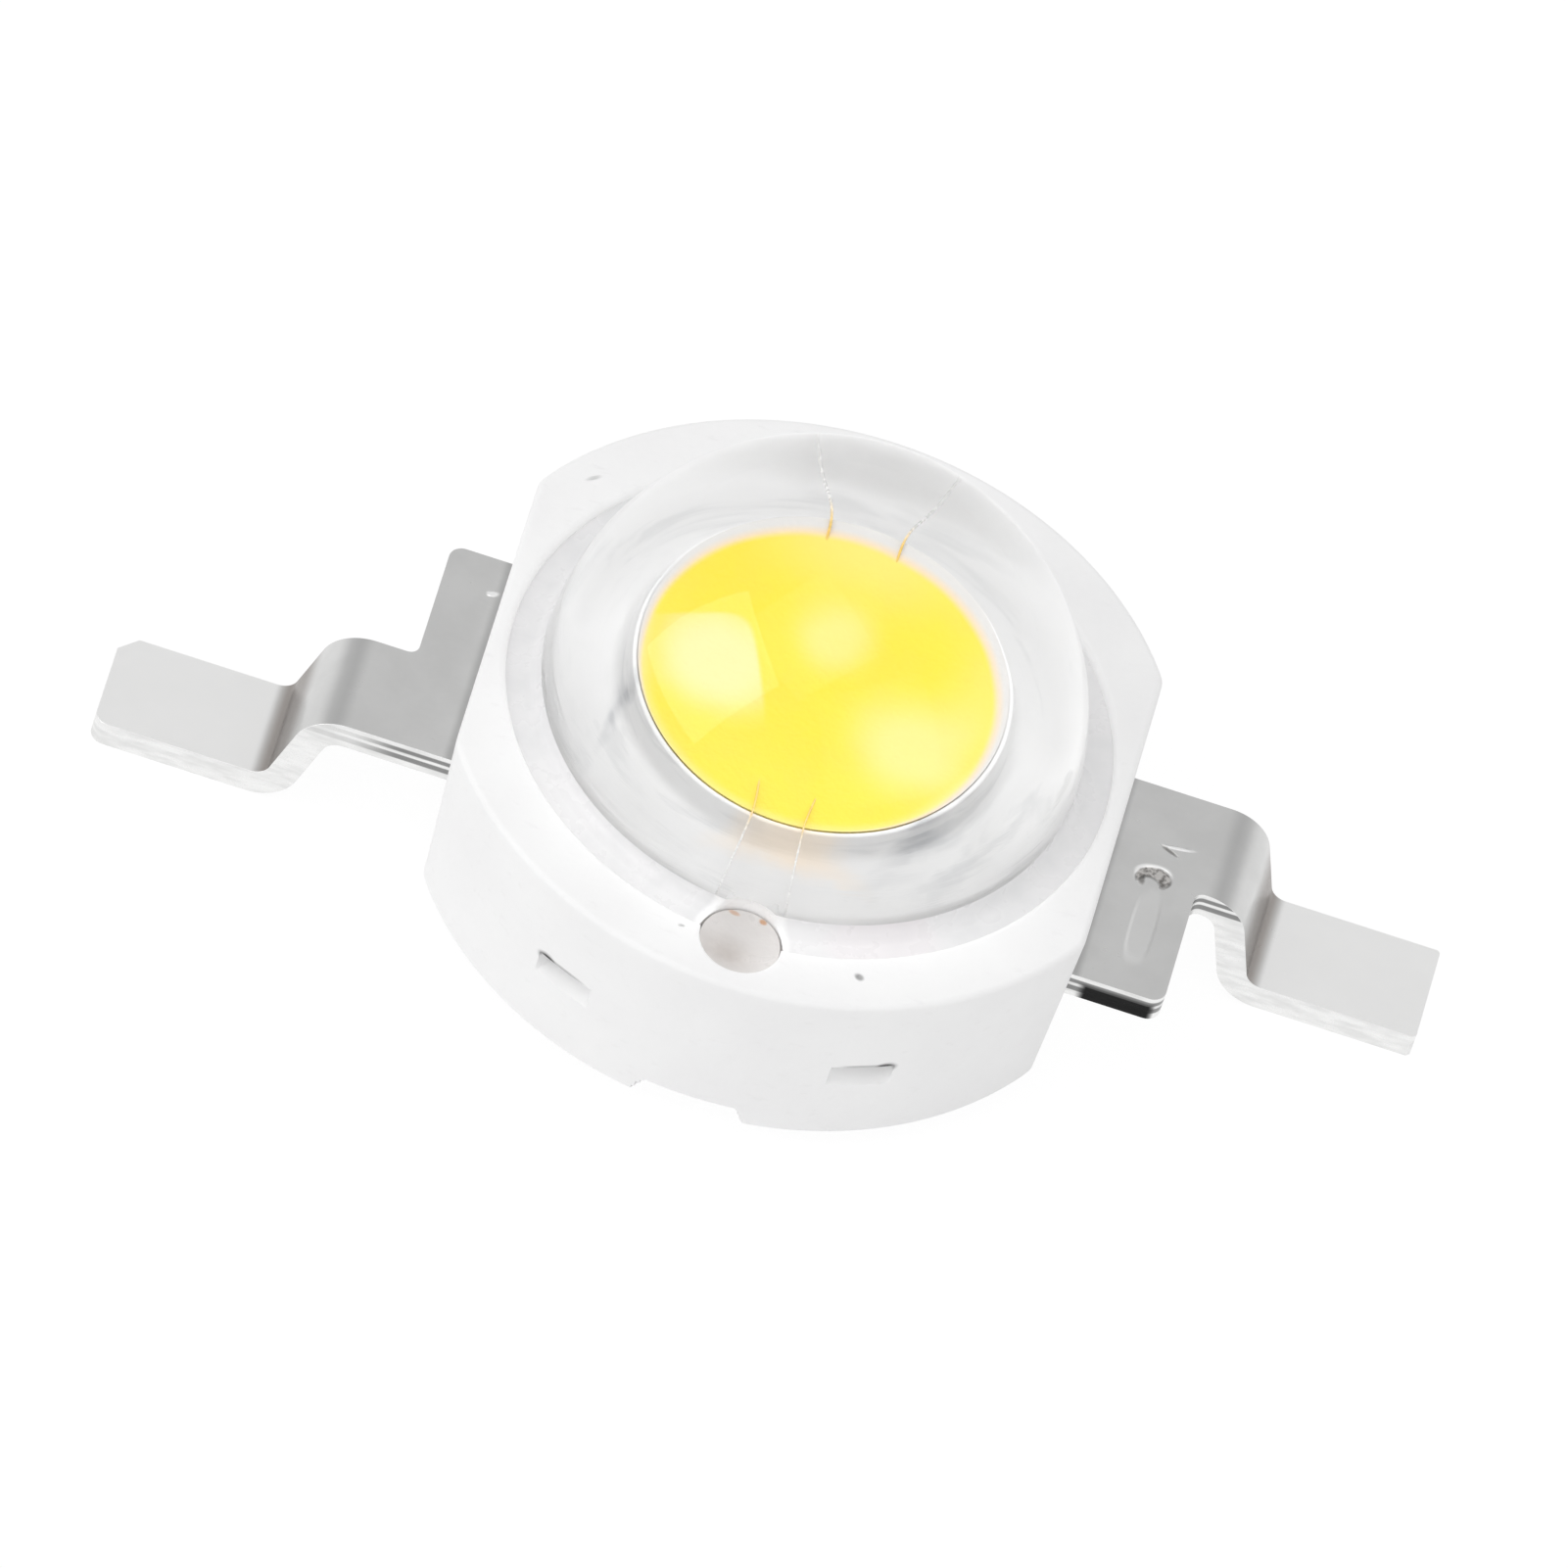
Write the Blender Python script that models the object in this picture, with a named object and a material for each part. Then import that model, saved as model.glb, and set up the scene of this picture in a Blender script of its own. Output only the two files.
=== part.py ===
"""High power LED emitter: a domed lens on a round moulded body with a heat slug and two gull-wing leads.

Blender 4.5, metres, +Z up. The origin is the centre of the heat slug's underside, which is also the plane that
the two solder feet stand on. +X runs out along the anode lead and -X along the cathode lead.
"""

import math

import bmesh
import bpy
from mathutils import Vector

MM = 0.001

# Clearances
FIT = 0.010 * MM                     # between two pieces that are moulded or bonded together
LENS_SEAT_GAP = 0.040 * MM           # round the lens flange in its recess

# Heat slug, from the seating plane up
SLUG_BASE_HEIGHT = 0.55 * MM
SLUG_GROOVE_HEIGHT = 0.20 * MM
SLUG_GROOVE_DEPTH = 0.30 * MM        # from the collar inwards
SLUG_COLLAR_HEIGHT = 0.20 * MM
SLUG_COLLAR_PROUD = 0.50 * MM        # from the drum outwards
SLUG_EDGE_CHAMFER = 0.08 * MM
DRUM_SHOULDER_RISE = 0.25 * MM       # from the ledge up to where the drum starts to narrow
CUP_FLOOR_MARGIN = 0.10 * MM         # from the chip bond's corner to the edge of the cup's floor
CUP_WALL_RUN = 0.46 * MM             # how far the cup's wall leans out on its way up
CUP_DEPTH = 0.40 * MM
CUP_RIM_WIDTH = 0.22 * MM
CUP_RIM_HEIGHT = 0.25 * MM
CUP_RIM_CHAMFER = 0.05 * MM
CUP_RISE = 0.08 * MM                 # cup rim above the body's top face

# Leads
LEAD_THICKNESS = 0.33 * MM
LEAD_WIDTH = 1.27 * MM
LEAD_OFFSET = 0.08 * MM              # from the middle plane to the strip's near edge
TAB_REACH = 1.54 * MM                # how far the wide tab runs past the middle plane
ANODE_TAB_SETBACK = 0.01 * MM        # from the first bend back to the fillet beside the tab
CATHODE_TAB_SETBACK = 0.34 * MM
TAB_CORNER_RADIUS = 0.16 * MM
TAB_FILLET_RADIUS = 0.11 * MM
BEND_STANDOFF = 1.12 * MM            # from the body's flat to the first bend
BEND_INNER_RADIUS = 0.20 * MM
BEND_ANGLE = math.radians(75)
FOOT_LENGTH = 1.74 * MM
ANODE_FOOT_CHAMFER = 0.04 * MM       # corner of the foot nearest the middle plane
ANODE_FOOT_ROUND = 0.05 * MM         # corner of the foot away from it
CATHODE_FOOT_CHAMFER = 0.20 * MM
CATHODE_FOOT_ROUND = 0.16 * MM
LEAD_EDGE_ROUND = 0.035 * MM
FINGER_WIDTH = 0.55 * MM
FINGER_GRIP = 0.20 * MM              # how far the finger runs into the cavity wall
FINGER_GAP = 0.35 * MM               # plastic between the finger and the slug's drum
FINGER_END_ANGLE = math.radians(108)
ROOT_HALF_WIDTH = 1.10 * MM
SHANK_LOCK = 0.20 * MM               # slot that locks the shank, outside the finger

# Lens
WIRE_LANE = 0.70 * MM                # from the cup rim out to the lens, where the wires go down
LENS_WALL = 0.69 * MM                # at the dome's foot
FLANGE_WIDTH = 0.312 * MM            # from the dome's foot outwards
FLANGE_THICKNESS = 0.32 * MM
FLANGE_COVE = 0.08 * MM

# Housing
BODY_STANDOFF = 0.20 * MM            # body's underside above the seating plane
RIM_WIDTH = 0.70 * MM                # flat rim round the lens recess
BODY_DRAFT = 0.10 * MM               # radius lost from the top down to the underside
FLAT_CUT = 0.50 * MM                 # depth of each side flat
BASE_WALL = 1.15 * MM                # plastic round the slug's base, at the top radius
COLLAR_COVER = 0.22 * MM             # plastic between the slug's collar and the leads
CAVITY_DEPTH = 0.57 * MM
CAVITY_STEP = 0.20 * MM              # from the dome's foot in to the cavity's wall
CAVITY_DRAFT = 0.10 * MM
RECESS_DEPTH = 0.43 * MM
TOP_EDGE_ROUND = 0.14 * MM
BOTTOM_EDGE_CHAMFER = 0.05 * MM
FILL_HOLE_RADIUS = 0.44 * MM
FILL_HOLE_DEPTH = 0.66 * MM
FILL_CHANNEL_WIDTH = 0.50 * MM
FILL_LEVEL_DROP = 0.30 * MM          # gel surface in the filler hole below the body's top face
WINDOW_OFFSET = 1.65 * MM
WINDOW_WIDTH = 0.70 * MM
WINDOW_HEIGHT = 0.29 * MM
WINDOW_DEPTH = 0.36 * MM
NOTCH_TOP_WIDTH = 1.00 * MM
NOTCH_BOTTOM_WIDTH = 1.26 * MM
NOTCH_HEIGHT = 0.28 * MM
NOTCH_DEPTH = 0.34 * MM

# Chip, its bond and its phosphor
DIE_SIZE = 1.00 * MM
DIE_THICKNESS = 0.13 * MM
DIE_PAD_SIZE = 0.14 * MM
DIE_PAD_HEIGHT = 0.012 * MM
DIE_PAD_INSET = 0.12 * MM            # pad centre from the chip's edge
DIE_PAD_OFFSET = 0.26 * MM           # pad centre from the middle plane
ATTACH_THICKNESS = 0.03 * MM
ATTACH_MARGIN = 0.05 * MM
PHOSPHOR_EDGE_DROP = 0.02 * MM       # phosphor edge below the cup rim
PHOSPHOR_CROWN = 0.07 * MM

# Bond wires
WIRE_RADIUS = 0.020 * MM
WIRE_BALL_RADIUS = 0.050 * MM
WIRE_BALL_HEIGHT = 0.045 * MM
WIRE_NECK_HEIGHT = 0.072 * MM        # from the pad to where the wire is at its own size
WIRE_LOOP_RISE = 0.20 * MM           # top of the loop above the cup rim
WIRE_RIM_GAP = 0.10 * MM             # wire clear of the cup rim, sideways
WIRE_SPREAD = 0.42 * MM              # stitch from the middle plane
STITCH_INSET = 0.08 * MM             # stitch from the finger's inner edge
STITCH_LENGTH = 0.14 * MM

# Facets
TURNED_STEPS = 48
ARC_STEPS = 26
DOME_STEPS = 12
BEND_STEPS = 6
WIRE_STEPS = 4

# Heights that follow from the stack
PLATE_BOTTOM = SLUG_BASE_HEIGHT + SLUG_GROOVE_HEIGHT + SLUG_COLLAR_HEIGHT + COLLAR_COVER
PLATE_TOP = PLATE_BOTTOM + LEAD_THICKNESS
RECESS_FLOOR = PLATE_TOP + CAVITY_DEPTH
BODY_TOP = RECESS_FLOOR + RECESS_DEPTH
CUP_RIM_Z = BODY_TOP + CUP_RISE
CUP_FLOOR_Z = CUP_RIM_Z - CUP_DEPTH
FLANGE_BOTTOM = RECESS_FLOOR + FIT
FLANGE_TOP = FLANGE_BOTTOM + FLANGE_THICKNESS
ATTACH_Z = CUP_FLOOR_Z + FIT
DIE_Z = ATTACH_Z + ATTACH_THICKNESS + FIT
DIE_TOP = DIE_Z + DIE_THICKNESS
PAD_TOP = DIE_TOP + DIE_PAD_HEIGHT
PHOSPHOR_EDGE_Z = CUP_RIM_Z - PHOSPHOR_EDGE_DROP

# Radii and offsets that follow from the chip outwards
CUP_FLOOR_RADIUS = (DIE_SIZE / 2 + ATTACH_MARGIN) * math.sqrt(2) + CUP_FLOOR_MARGIN
CUP_MOUTH_RADIUS = CUP_FLOOR_RADIUS + CUP_WALL_RUN
CUP_RIM_RADIUS = CUP_MOUTH_RADIUS + CUP_RIM_WIDTH
PHOSPHOR_RADIUS = CUP_MOUTH_RADIUS - PHOSPHOR_EDGE_DROP * CUP_WALL_RUN / CUP_DEPTH - 1.5 * FIT
LENS_BORE = CUP_RIM_RADIUS + WIRE_LANE
LENS_RADIUS = LENS_BORE + LENS_WALL
FLANGE_RADIUS = LENS_RADIUS + FLANGE_WIDTH
RECESS_RADIUS = FLANGE_RADIUS + LENS_SEAT_GAP
BODY_RADIUS = RECESS_RADIUS + RIM_WIDTH
HALF_FLATS = BODY_RADIUS - FLAT_CUT
CAVITY_TOP_RADIUS = LENS_RADIUS - CAVITY_STEP
CAVITY_FLOOR_RADIUS = CAVITY_TOP_RADIUS - CAVITY_DRAFT
FINGER_OUTER = CAVITY_FLOOR_RADIUS + FINGER_GRIP
FINGER_INNER = FINGER_OUTER - FINGER_WIDTH
DRUM_RADIUS = FINGER_INNER - FINGER_GAP
COLLAR_RADIUS = DRUM_RADIUS + SLUG_COLLAR_PROUD
GROOVE_RADIUS = COLLAR_RADIUS - SLUG_GROOVE_DEPTH
SLUG_BASE_RADIUS = BODY_RADIUS - BASE_WALL
SHANK_START = FINGER_OUTER + SHANK_LOCK
BEND_START = HALF_FLATS + BEND_STANDOFF

# Scene helpers


def clear_scene():
    """Removes whatever the file holds before the model is made."""
    for item in list(bpy.data.objects):
        bpy.data.objects.remove(item, do_unlink=True)


def material(name, colour, roughness, metallic=0.0, transmission=0.0, alpha=1.0):
    """A Principled material in one colour."""
    mat = bpy.data.materials.new(name)
    mat.use_nodes = True
    shader = mat.node_tree.nodes["Principled BSDF"]
    shader.inputs["Base Color"].default_value = (*colour, 1.0)
    shader.inputs["Roughness"].default_value = roughness
    shader.inputs["Metallic"].default_value = metallic
    shader.inputs["Transmission Weight"].default_value = transmission
    shader.inputs["Alpha"].default_value = alpha
    return mat


def add_object(name, shape, mat=None):
    """Turns a bmesh into an object with outward faces, round where it is meant to be."""
    bmesh.ops.recalc_face_normals(shape, faces=shape.faces)
    mesh = bpy.data.meshes.new(name)
    shape.to_mesh(mesh)
    shape.free()
    mesh.shade_smooth()
    mesh.set_sharp_from_angle(angle=math.radians(32))
    item = bpy.data.objects.new(name, mesh)
    bpy.context.scene.collection.objects.link(item)
    if mat:
        mesh.materials.append(mat)
    else:
        item.hide_render = True
        item.display_type = "WIRE"
    return item


def cut(item, *cutters):
    """Takes each cutter out of the item."""
    for cutter in cutters:
        step = item.modifiers.new("cut_" + cutter.name, "BOOLEAN")
        step.operation = "DIFFERENCE"
        step.solver = "EXACT"
        step.object = cutter


def fuse(item, *parts):
    """Adds each part to the item as one solid."""
    for part in parts:
        step = item.modifiers.new("fuse_" + part.name, "BOOLEAN")
        step.operation = "UNION"
        step.solver = "EXACT"
        step.object = part


# Shape helpers


def arc(centre, radius, start, end, steps):
    """Points along an arc in a plane, both ends included, angles in radians."""
    points = []
    for i in range(steps + 1):
        angle = start + (end - start) * i / steps
        points.append((centre[0] + radius * math.cos(angle), centre[1] + radius * math.sin(angle)))
    return points


def turned(profile, steps=TURNED_STEPS):
    """Spins a closed profile of (radius, height) points about the Z axis."""
    shape = bmesh.new()
    loop = [shape.verts.new((radius, 0.0, height)) for radius, height in profile]
    edges = [shape.edges.new((loop[i - 1], loop[i])) for i in range(1, len(loop))]
    if profile[0][0] > 0 or profile[-1][0] > 0:
        edges.append(shape.edges.new((loop[-1], loop[0])))
    bmesh.ops.spin(shape, geom=loop + edges, cent=(0, 0, 0), axis=(0, 0, 1), angle=2 * math.pi,
                   steps=steps, use_merge=False)
    bmesh.ops.remove_doubles(shape, verts=shape.verts, dist=FIT / 50)
    return shape


def prism(outline, low, high):
    """Stands an outline of (x, y) points up between two heights."""
    shape = bmesh.new()
    base = shape.faces.new([shape.verts.new((x, y, low)) for x, y in outline])
    raised = bmesh.ops.extrude_face_region(shape, geom=[base])["geom"]
    bmesh.ops.translate(shape, vec=(0, 0, high - low), verts=[v for v in raised if isinstance(v, bmesh.types.BMVert)])
    return shape


def block(low, high):
    """A box between two corners."""
    outline = [(low[0], low[1]), (high[0], low[1]), (high[0], high[1]), (low[0], high[1])]
    return prism(outline, low[2], high[2])


def loft(rings):
    """Skins rings of equally many points, and caps the first and the last."""
    shape = bmesh.new()
    layers = [[shape.verts.new(point) for point in ring] for ring in rings]
    count = len(rings[0])
    for lower, upper in zip(layers, layers[1:]):
        for i in range(count):
            j = (i + 1) % count
            shape.faces.new((lower[i], lower[j], upper[j], upper[i]))
    shape.faces.new(list(reversed(layers[0])))
    shape.faces.new(layers[-1])
    return shape


def half_turn(item):
    """Turns an item to the opposite side of the body."""
    item.rotation_euler = (0, 0, math.pi)
    return item


# Heat slug


def slug_side(grow):
    """The slug's outer profile from the underside up to the cup rim, made larger by a clearance."""
    groove_low = SLUG_BASE_HEIGHT + grow
    collar_low = SLUG_BASE_HEIGHT + SLUG_GROOVE_HEIGHT - grow
    collar_top = SLUG_BASE_HEIGHT + SLUG_GROOVE_HEIGHT + SLUG_COLLAR_HEIGHT + grow
    return [
        (SLUG_BASE_RADIUS + grow, groove_low),
        (GROOVE_RADIUS + grow, groove_low),
        (GROOVE_RADIUS + grow, collar_low),
        (COLLAR_RADIUS + grow, collar_low),
        (COLLAR_RADIUS + grow, collar_top),
        (DRUM_RADIUS + grow, collar_top),
    ]


def slug_head(grow):
    """The part of the slug that stands in the clear filling, from the ledge to the cup rim."""
    return [
        (DRUM_RADIUS + grow, PLATE_TOP + DRUM_SHOULDER_RISE),
        (CUP_RIM_RADIUS + grow, CUP_RIM_Z - CUP_RIM_HEIGHT),
        (CUP_RIM_RADIUS + grow, CUP_RIM_Z - CUP_RIM_CHAMFER),
        (CUP_RIM_RADIUS - CUP_RIM_CHAMFER, CUP_RIM_Z + grow),
    ]


def slug_radius_at(height):
    """Radius of the slug's narrowing head at a height between its shoulder and its rim."""
    low = PLATE_TOP + DRUM_SHOULDER_RISE
    share = (height - low) / (CUP_RIM_Z - CUP_RIM_HEIGHT - low)
    return DRUM_RADIUS + (CUP_RIM_RADIUS - DRUM_RADIUS) * share


def make_heat_slug(mat):
    """Turned slug: base, retaining groove and collar, drum, and a cone-shaped reflector cup."""
    profile = [(0.0, 0.0), (SLUG_BASE_RADIUS - SLUG_EDGE_CHAMFER, 0.0), (SLUG_BASE_RADIUS, SLUG_EDGE_CHAMFER)]
    profile += slug_side(0.0) + slug_head(0.0)
    profile += [(CUP_MOUTH_RADIUS, CUP_RIM_Z), (CUP_FLOOR_RADIUS, CUP_FLOOR_Z), (0.0, CUP_FLOOR_Z)]
    return add_object("heat_slug", turned(profile), mat)


# Leads


def plate_outline(setback, grow=0.0):
    """Flat outline of a lead out to its first bend: bond finger, root, locked shank and wide tab."""
    inner = FINGER_INNER - grow
    outer = FINGER_OUTER + grow
    root = ROOT_HALF_WIDTH + grow
    shank = SHANK_START - grow
    back = LEAD_OFFSET + LEAD_WIDTH + grow
    front = -TAB_REACH - grow
    edge = BEND_START - setback - TAB_FILLET_RADIUS
    finger_end = FINGER_END_ANGLE + grow / FINGER_OUTER
    points = [(shank, -root), (shank, front)]
    corner = (edge - TAB_CORNER_RADIUS, front + TAB_CORNER_RADIUS)
    points += arc(corner, TAB_CORNER_RADIUS, -math.pi / 2, 0.0, 4)
    hollow = (edge + TAB_FILLET_RADIUS, LEAD_OFFSET - TAB_FILLET_RADIUS)
    points += arc(hollow, TAB_FILLET_RADIUS, math.pi, math.pi / 2, 4)
    points += [(BEND_START, LEAD_OFFSET), (BEND_START, back), (shank, back), (shank, root)]
    points += arc((0, 0), outer, math.asin(root / outer), finger_end, 18)
    points += arc((0, 0), inner, finger_end, -math.asin(root / inner), 22)
    return points


def gull_wing_path():
    """Middle line of the strip from its first bend to the tip, as (x, z, slope) stations."""
    radius = BEND_INNER_RADIUS + LEAD_THICKNESS / 2
    high = PLATE_TOP - LEAD_THICKNESS / 2
    low = LEAD_THICKNESS / 2
    web = (high - low - 2 * radius * (1 - math.cos(BEND_ANGLE))) / math.sin(BEND_ANGLE)
    stations = []
    for i in range(1, BEND_STEPS + 1):
        slope = BEND_ANGLE * i / BEND_STEPS
        stations.append((BEND_START + radius * math.sin(slope), high - radius * (1 - math.cos(slope)), slope))
    foot_start = stations[-1][0] + web * math.cos(BEND_ANGLE) + radius * math.sin(BEND_ANGLE)
    for i in range(BEND_STEPS + 1):
        slope = BEND_ANGLE * (1 - i / BEND_STEPS)
        stations.append((foot_start - radius * math.sin(slope), low + radius * (1 - math.cos(slope)), slope))
    return stations, foot_start + FOOT_LENGTH


def foot_end(tip, chamfer, rounding):
    """Stations (x, inset near, inset far) that narrow the foot: one corner chamfered, the other round."""
    reach = max(chamfer, rounding)
    stations = []
    steps = 5
    for i in range(steps + 1):
        short = reach * (1 - math.sin(math.pi / 2 * i / steps))
        into_round = max(0.0, rounding - short)
        stations.append((tip - short, max(0.0, chamfer - short),
                         rounding - math.sqrt(rounding ** 2 - into_round ** 2)))
    return stations


def make_lead(name, setback, chamfer, rounding, mat):
    """A punched plate whose strip is extruded, station by station, down to a flat solder foot."""
    shape = prism(plate_outline(setback), PLATE_BOTTOM, PLATE_TOP)
    end = max(shape.faces, key=lambda face: face.calc_center_median().x)
    near = LEAD_OFFSET
    far = LEAD_OFFSET + LEAD_WIDTH
    half = LEAD_THICKNESS / 2
    bends, tip = gull_wing_path()
    stations = [(x, z, slope, near, far) for x, z, slope in bends]
    for x, near_inset, far_inset in foot_end(tip, chamfer, rounding):
        stations.append((x, half, 0.0, near + near_inset, far - far_inset))
    for x, z, slope, low_y, high_y in stations:
        middle = end.calc_center_median()
        kinds = [(v.co.z > middle.z, v.co.y > middle.y) for v in end.verts]
        end = bmesh.ops.extrude_discrete_faces(shape, faces=[end])["faces"][0]
        for corner, (is_top, is_far) in zip(end.verts, kinds):
            offset = half if is_top else -half
            corner.co = (x + offset * math.sin(slope), high_y if is_far else low_y, z + offset * math.cos(slope))
    lead = add_object(name, shape, mat)
    edges = lead.modifiers.new("edge_round", "BEVEL")
    edges.width = LEAD_EDGE_ROUND
    edges.segments = 2
    edges.limit_method = "ANGLE"
    edges.angle_limit = math.radians(40)
    return lead


def lead_pocket(name, setback):
    """The space that a lead takes in the plastic."""
    return add_object(name, prism(plate_outline(setback, FIT), PLATE_BOTTOM - FIT, PLATE_TOP + FIT))


# Housing


def body_ring(inset, height):
    """The round outline with two side flats, pulled in by an inset, at one height."""
    radius = BODY_RADIUS - inset
    corner = math.acos((HALF_FLATS - inset) / radius)
    points = arc((0, 0), radius, corner, math.pi - corner, ARC_STEPS)
    points += arc((0, 0), radius, math.pi + corner, 2 * math.pi - corner, ARC_STEPS)
    return [(x, y, height) for x, y in points]


def body_shell():
    """The moulded outside: drafted wall, chamfered foot and rounded top edge."""
    rings = [body_ring(BODY_DRAFT + BOTTOM_EDGE_CHAMFER, BODY_STANDOFF),
             body_ring(BODY_DRAFT, BODY_STANDOFF + BOTTOM_EDGE_CHAMFER)]
    steps = 4
    for i in range(steps + 1):
        turn = math.pi / 2 * i / steps
        rings.append(body_ring(TOP_EDGE_ROUND * (1 - math.cos(turn)),
                               BODY_TOP - TOP_EDGE_ROUND * (1 - math.sin(turn))))
    return loft(rings)


def body_bore():
    """Everything that is turned out of the body: slug seat, cavity and lens recess."""
    over = BODY_TOP + RECESS_DEPTH
    profile = [(0.0, 0.0), (SLUG_BASE_RADIUS + FIT, 0.0)] + slug_side(FIT)
    profile += [(DRUM_RADIUS + FIT, PLATE_TOP), (CAVITY_FLOOR_RADIUS, PLATE_TOP),
                (CAVITY_TOP_RADIUS, RECESS_FLOOR), (RECESS_RADIUS, RECESS_FLOOR), (RECESS_RADIUS, over),
                (0.0, over)]
    return turned(profile)


def hole_outline(radius, side):
    """A filler hole, centred on the recess edge at the front or the back."""
    return arc((0, side * RECESS_RADIUS), radius, 0.0, 2 * math.pi * 23 / 24, 23)


def fill_passage(name, side, inset, level):
    """A filler hole and the channel that joins it to the cavity, below the lens flange."""
    floor = BODY_TOP - FILL_HOLE_DEPTH + inset
    hole = add_object(name, prism(hole_outline(FILL_HOLE_RADIUS - inset, side), floor, level))
    half = FILL_CHANNEL_WIDTH / 2 - inset
    reach = sorted((side * (DRUM_RADIUS + FINGER_GAP), side * RECESS_RADIUS))
    channel = block((-half, reach[0], floor), (half, reach[1], RECESS_FLOOR - inset))
    return hole, add_object(name + "_channel", channel)


def window_pocket(name, x_side, y_side):
    """One pocket left in the wall by a pin that held the lead frame in the mould."""
    middle = (PLATE_TOP + PLATE_BOTTOM) / 2
    outside = math.sqrt(BODY_RADIUS ** 2 - WINDOW_OFFSET ** 2)
    reach = sorted((y_side * (outside - WINDOW_DEPTH), y_side * (BODY_RADIUS + WINDOW_DEPTH)))
    low = (x_side * WINDOW_OFFSET - WINDOW_WIDTH / 2, reach[0], middle - WINDOW_HEIGHT / 2)
    high = (x_side * WINDOW_OFFSET + WINDOW_WIDTH / 2, reach[1], middle + WINDOW_HEIGHT / 2)
    return add_object(name, block(low, high))


def edge_notch(name, side):
    """A tapered notch in the lower edge of the front or back wall."""
    half_top = NOTCH_TOP_WIDTH / 2
    half_low = NOTCH_BOTTOM_WIDTH / 2
    slope = (half_low - half_top) / NOTCH_HEIGHT
    under = half_low + slope * BODY_STANDOFF
    near = side * (BODY_RADIUS - BODY_DRAFT - NOTCH_DEPTH)
    far = side * (BODY_RADIUS + NOTCH_DEPTH)
    top = BODY_STANDOFF + NOTCH_HEIGHT
    rings = [[(-under, y, 0.0), (under, y, 0.0), (half_top, y, top), (-half_top, y, top)] for y in (near, far)]
    return add_object(name, loft(rings))


def make_housing(mat):
    """White moulded body round the slug and both leads."""
    housing = add_object("housing", body_shell(), mat)
    cut(housing, add_object("cut_bore", body_bore()))
    cut(housing, lead_pocket("cut_anode_pocket", ANODE_TAB_SETBACK),
        half_turn(lead_pocket("cut_cathode_pocket", CATHODE_TAB_SETBACK)))
    for side, place in ((-1, "front"), (1, "back")):
        cut(housing, *fill_passage("cut_fill_" + place, side, 0.0, BODY_TOP + RECESS_DEPTH))
        cut(housing, edge_notch("cut_notch_" + place, side))
        for x_side, hand in ((-1, "left"), (1, "right")):
            cut(housing, window_pocket("cut_window_" + place + "_" + hand, x_side, side))
    return housing


# Lens and clear filling


def make_lens(mat):
    """Hollow half ball, centred level with the body's top face, on a flange with a bite at each filler hole."""
    low_angle = math.asin((FLANGE_TOP + FLANGE_COVE - BODY_TOP) / LENS_RADIUS)
    cove_radius = LENS_RADIUS * math.cos(low_angle) + FLANGE_COVE
    profile = arc((0, BODY_TOP), LENS_RADIUS, math.pi / 2, low_angle, DOME_STEPS + 2)
    profile[0] = (0.0, BODY_TOP + LENS_RADIUS)
    profile += [(cove_radius, FLANGE_TOP), (FLANGE_RADIUS, FLANGE_TOP), (FLANGE_RADIUS, FLANGE_BOTTOM),
                (LENS_BORE, FLANGE_BOTTOM)]
    inside = arc((0, BODY_TOP), LENS_BORE, 0.0, math.pi / 2, DOME_STEPS)
    inside[-1] = (0.0, BODY_TOP + LENS_BORE)
    lens = add_object("lens", turned(profile + inside), mat)
    for side, place in ((-1, "front"), (1, "back")):
        outline = hole_outline(FILL_HOLE_RADIUS, side)
        cut(lens, add_object("cut_flange_" + place, prism(outline, PLATE_TOP, BODY_TOP)))
    return lens


def make_silicone(mat, wire_cutters):
    """Clear gel under the dome, round the cup and down to the ledge, with its two filler plugs."""
    profile = arc((0, BODY_TOP), LENS_BORE - FIT, math.pi / 2, 0.0, DOME_STEPS)
    profile[0] = (0.0, BODY_TOP + LENS_BORE - FIT)
    profile += [(LENS_BORE - FIT, RECESS_FLOOR - FIT), (CAVITY_TOP_RADIUS - FIT, RECESS_FLOOR - FIT),
                (CAVITY_FLOOR_RADIUS - FIT, PLATE_TOP + FIT), (DRUM_RADIUS + FIT, PLATE_TOP + FIT)]
    profile += slug_head(FIT)
    profile += [(CUP_MOUTH_RADIUS, CUP_RIM_Z + FIT)]
    profile += phosphor_crown(FIT)
    fill = add_object("silicone_fill", turned(profile), mat)
    for side, place in ((-1, "front"), (1, "back")):
        fuse(fill, *fill_passage("plug_" + place, side, FIT, BODY_TOP - FILL_LEVEL_DROP))
    cut(fill, *wire_cutters)
    return fill


# Chip, die bond and phosphor


def centred_block(half, low, high, grow=0.0):
    """A square block on the axis, grown by a clearance."""
    return block((-half - grow, -half - grow, low - grow), (half + grow, half + grow, high + grow))


def make_die_attach(mat):
    """Thin square of silver epoxy."""
    half = DIE_SIZE / 2 + ATTACH_MARGIN
    return add_object("die_attach", centred_block(half, ATTACH_Z, ATTACH_Z + ATTACH_THICKNESS), mat)


def make_die(mat):
    """Square chip with a raised bond pad under each wire."""
    die = add_object("led_die", centred_block(DIE_SIZE / 2, DIE_Z, DIE_TOP), mat)
    reach = DIE_SIZE / 2 - DIE_PAD_INSET
    half = DIE_PAD_SIZE / 2
    for number, (x_side, y_side) in enumerate(((-1, -1), (1, -1), (-1, 1), (1, 1)), 1):
        x = x_side * DIE_PAD_OFFSET
        y = y_side * reach
        pad = block((x - half, y - half, DIE_TOP - DIE_THICKNESS / 2), (x + half, y + half, PAD_TOP))
        fuse(die, add_object("pad_%d" % number, pad))
    return die


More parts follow.
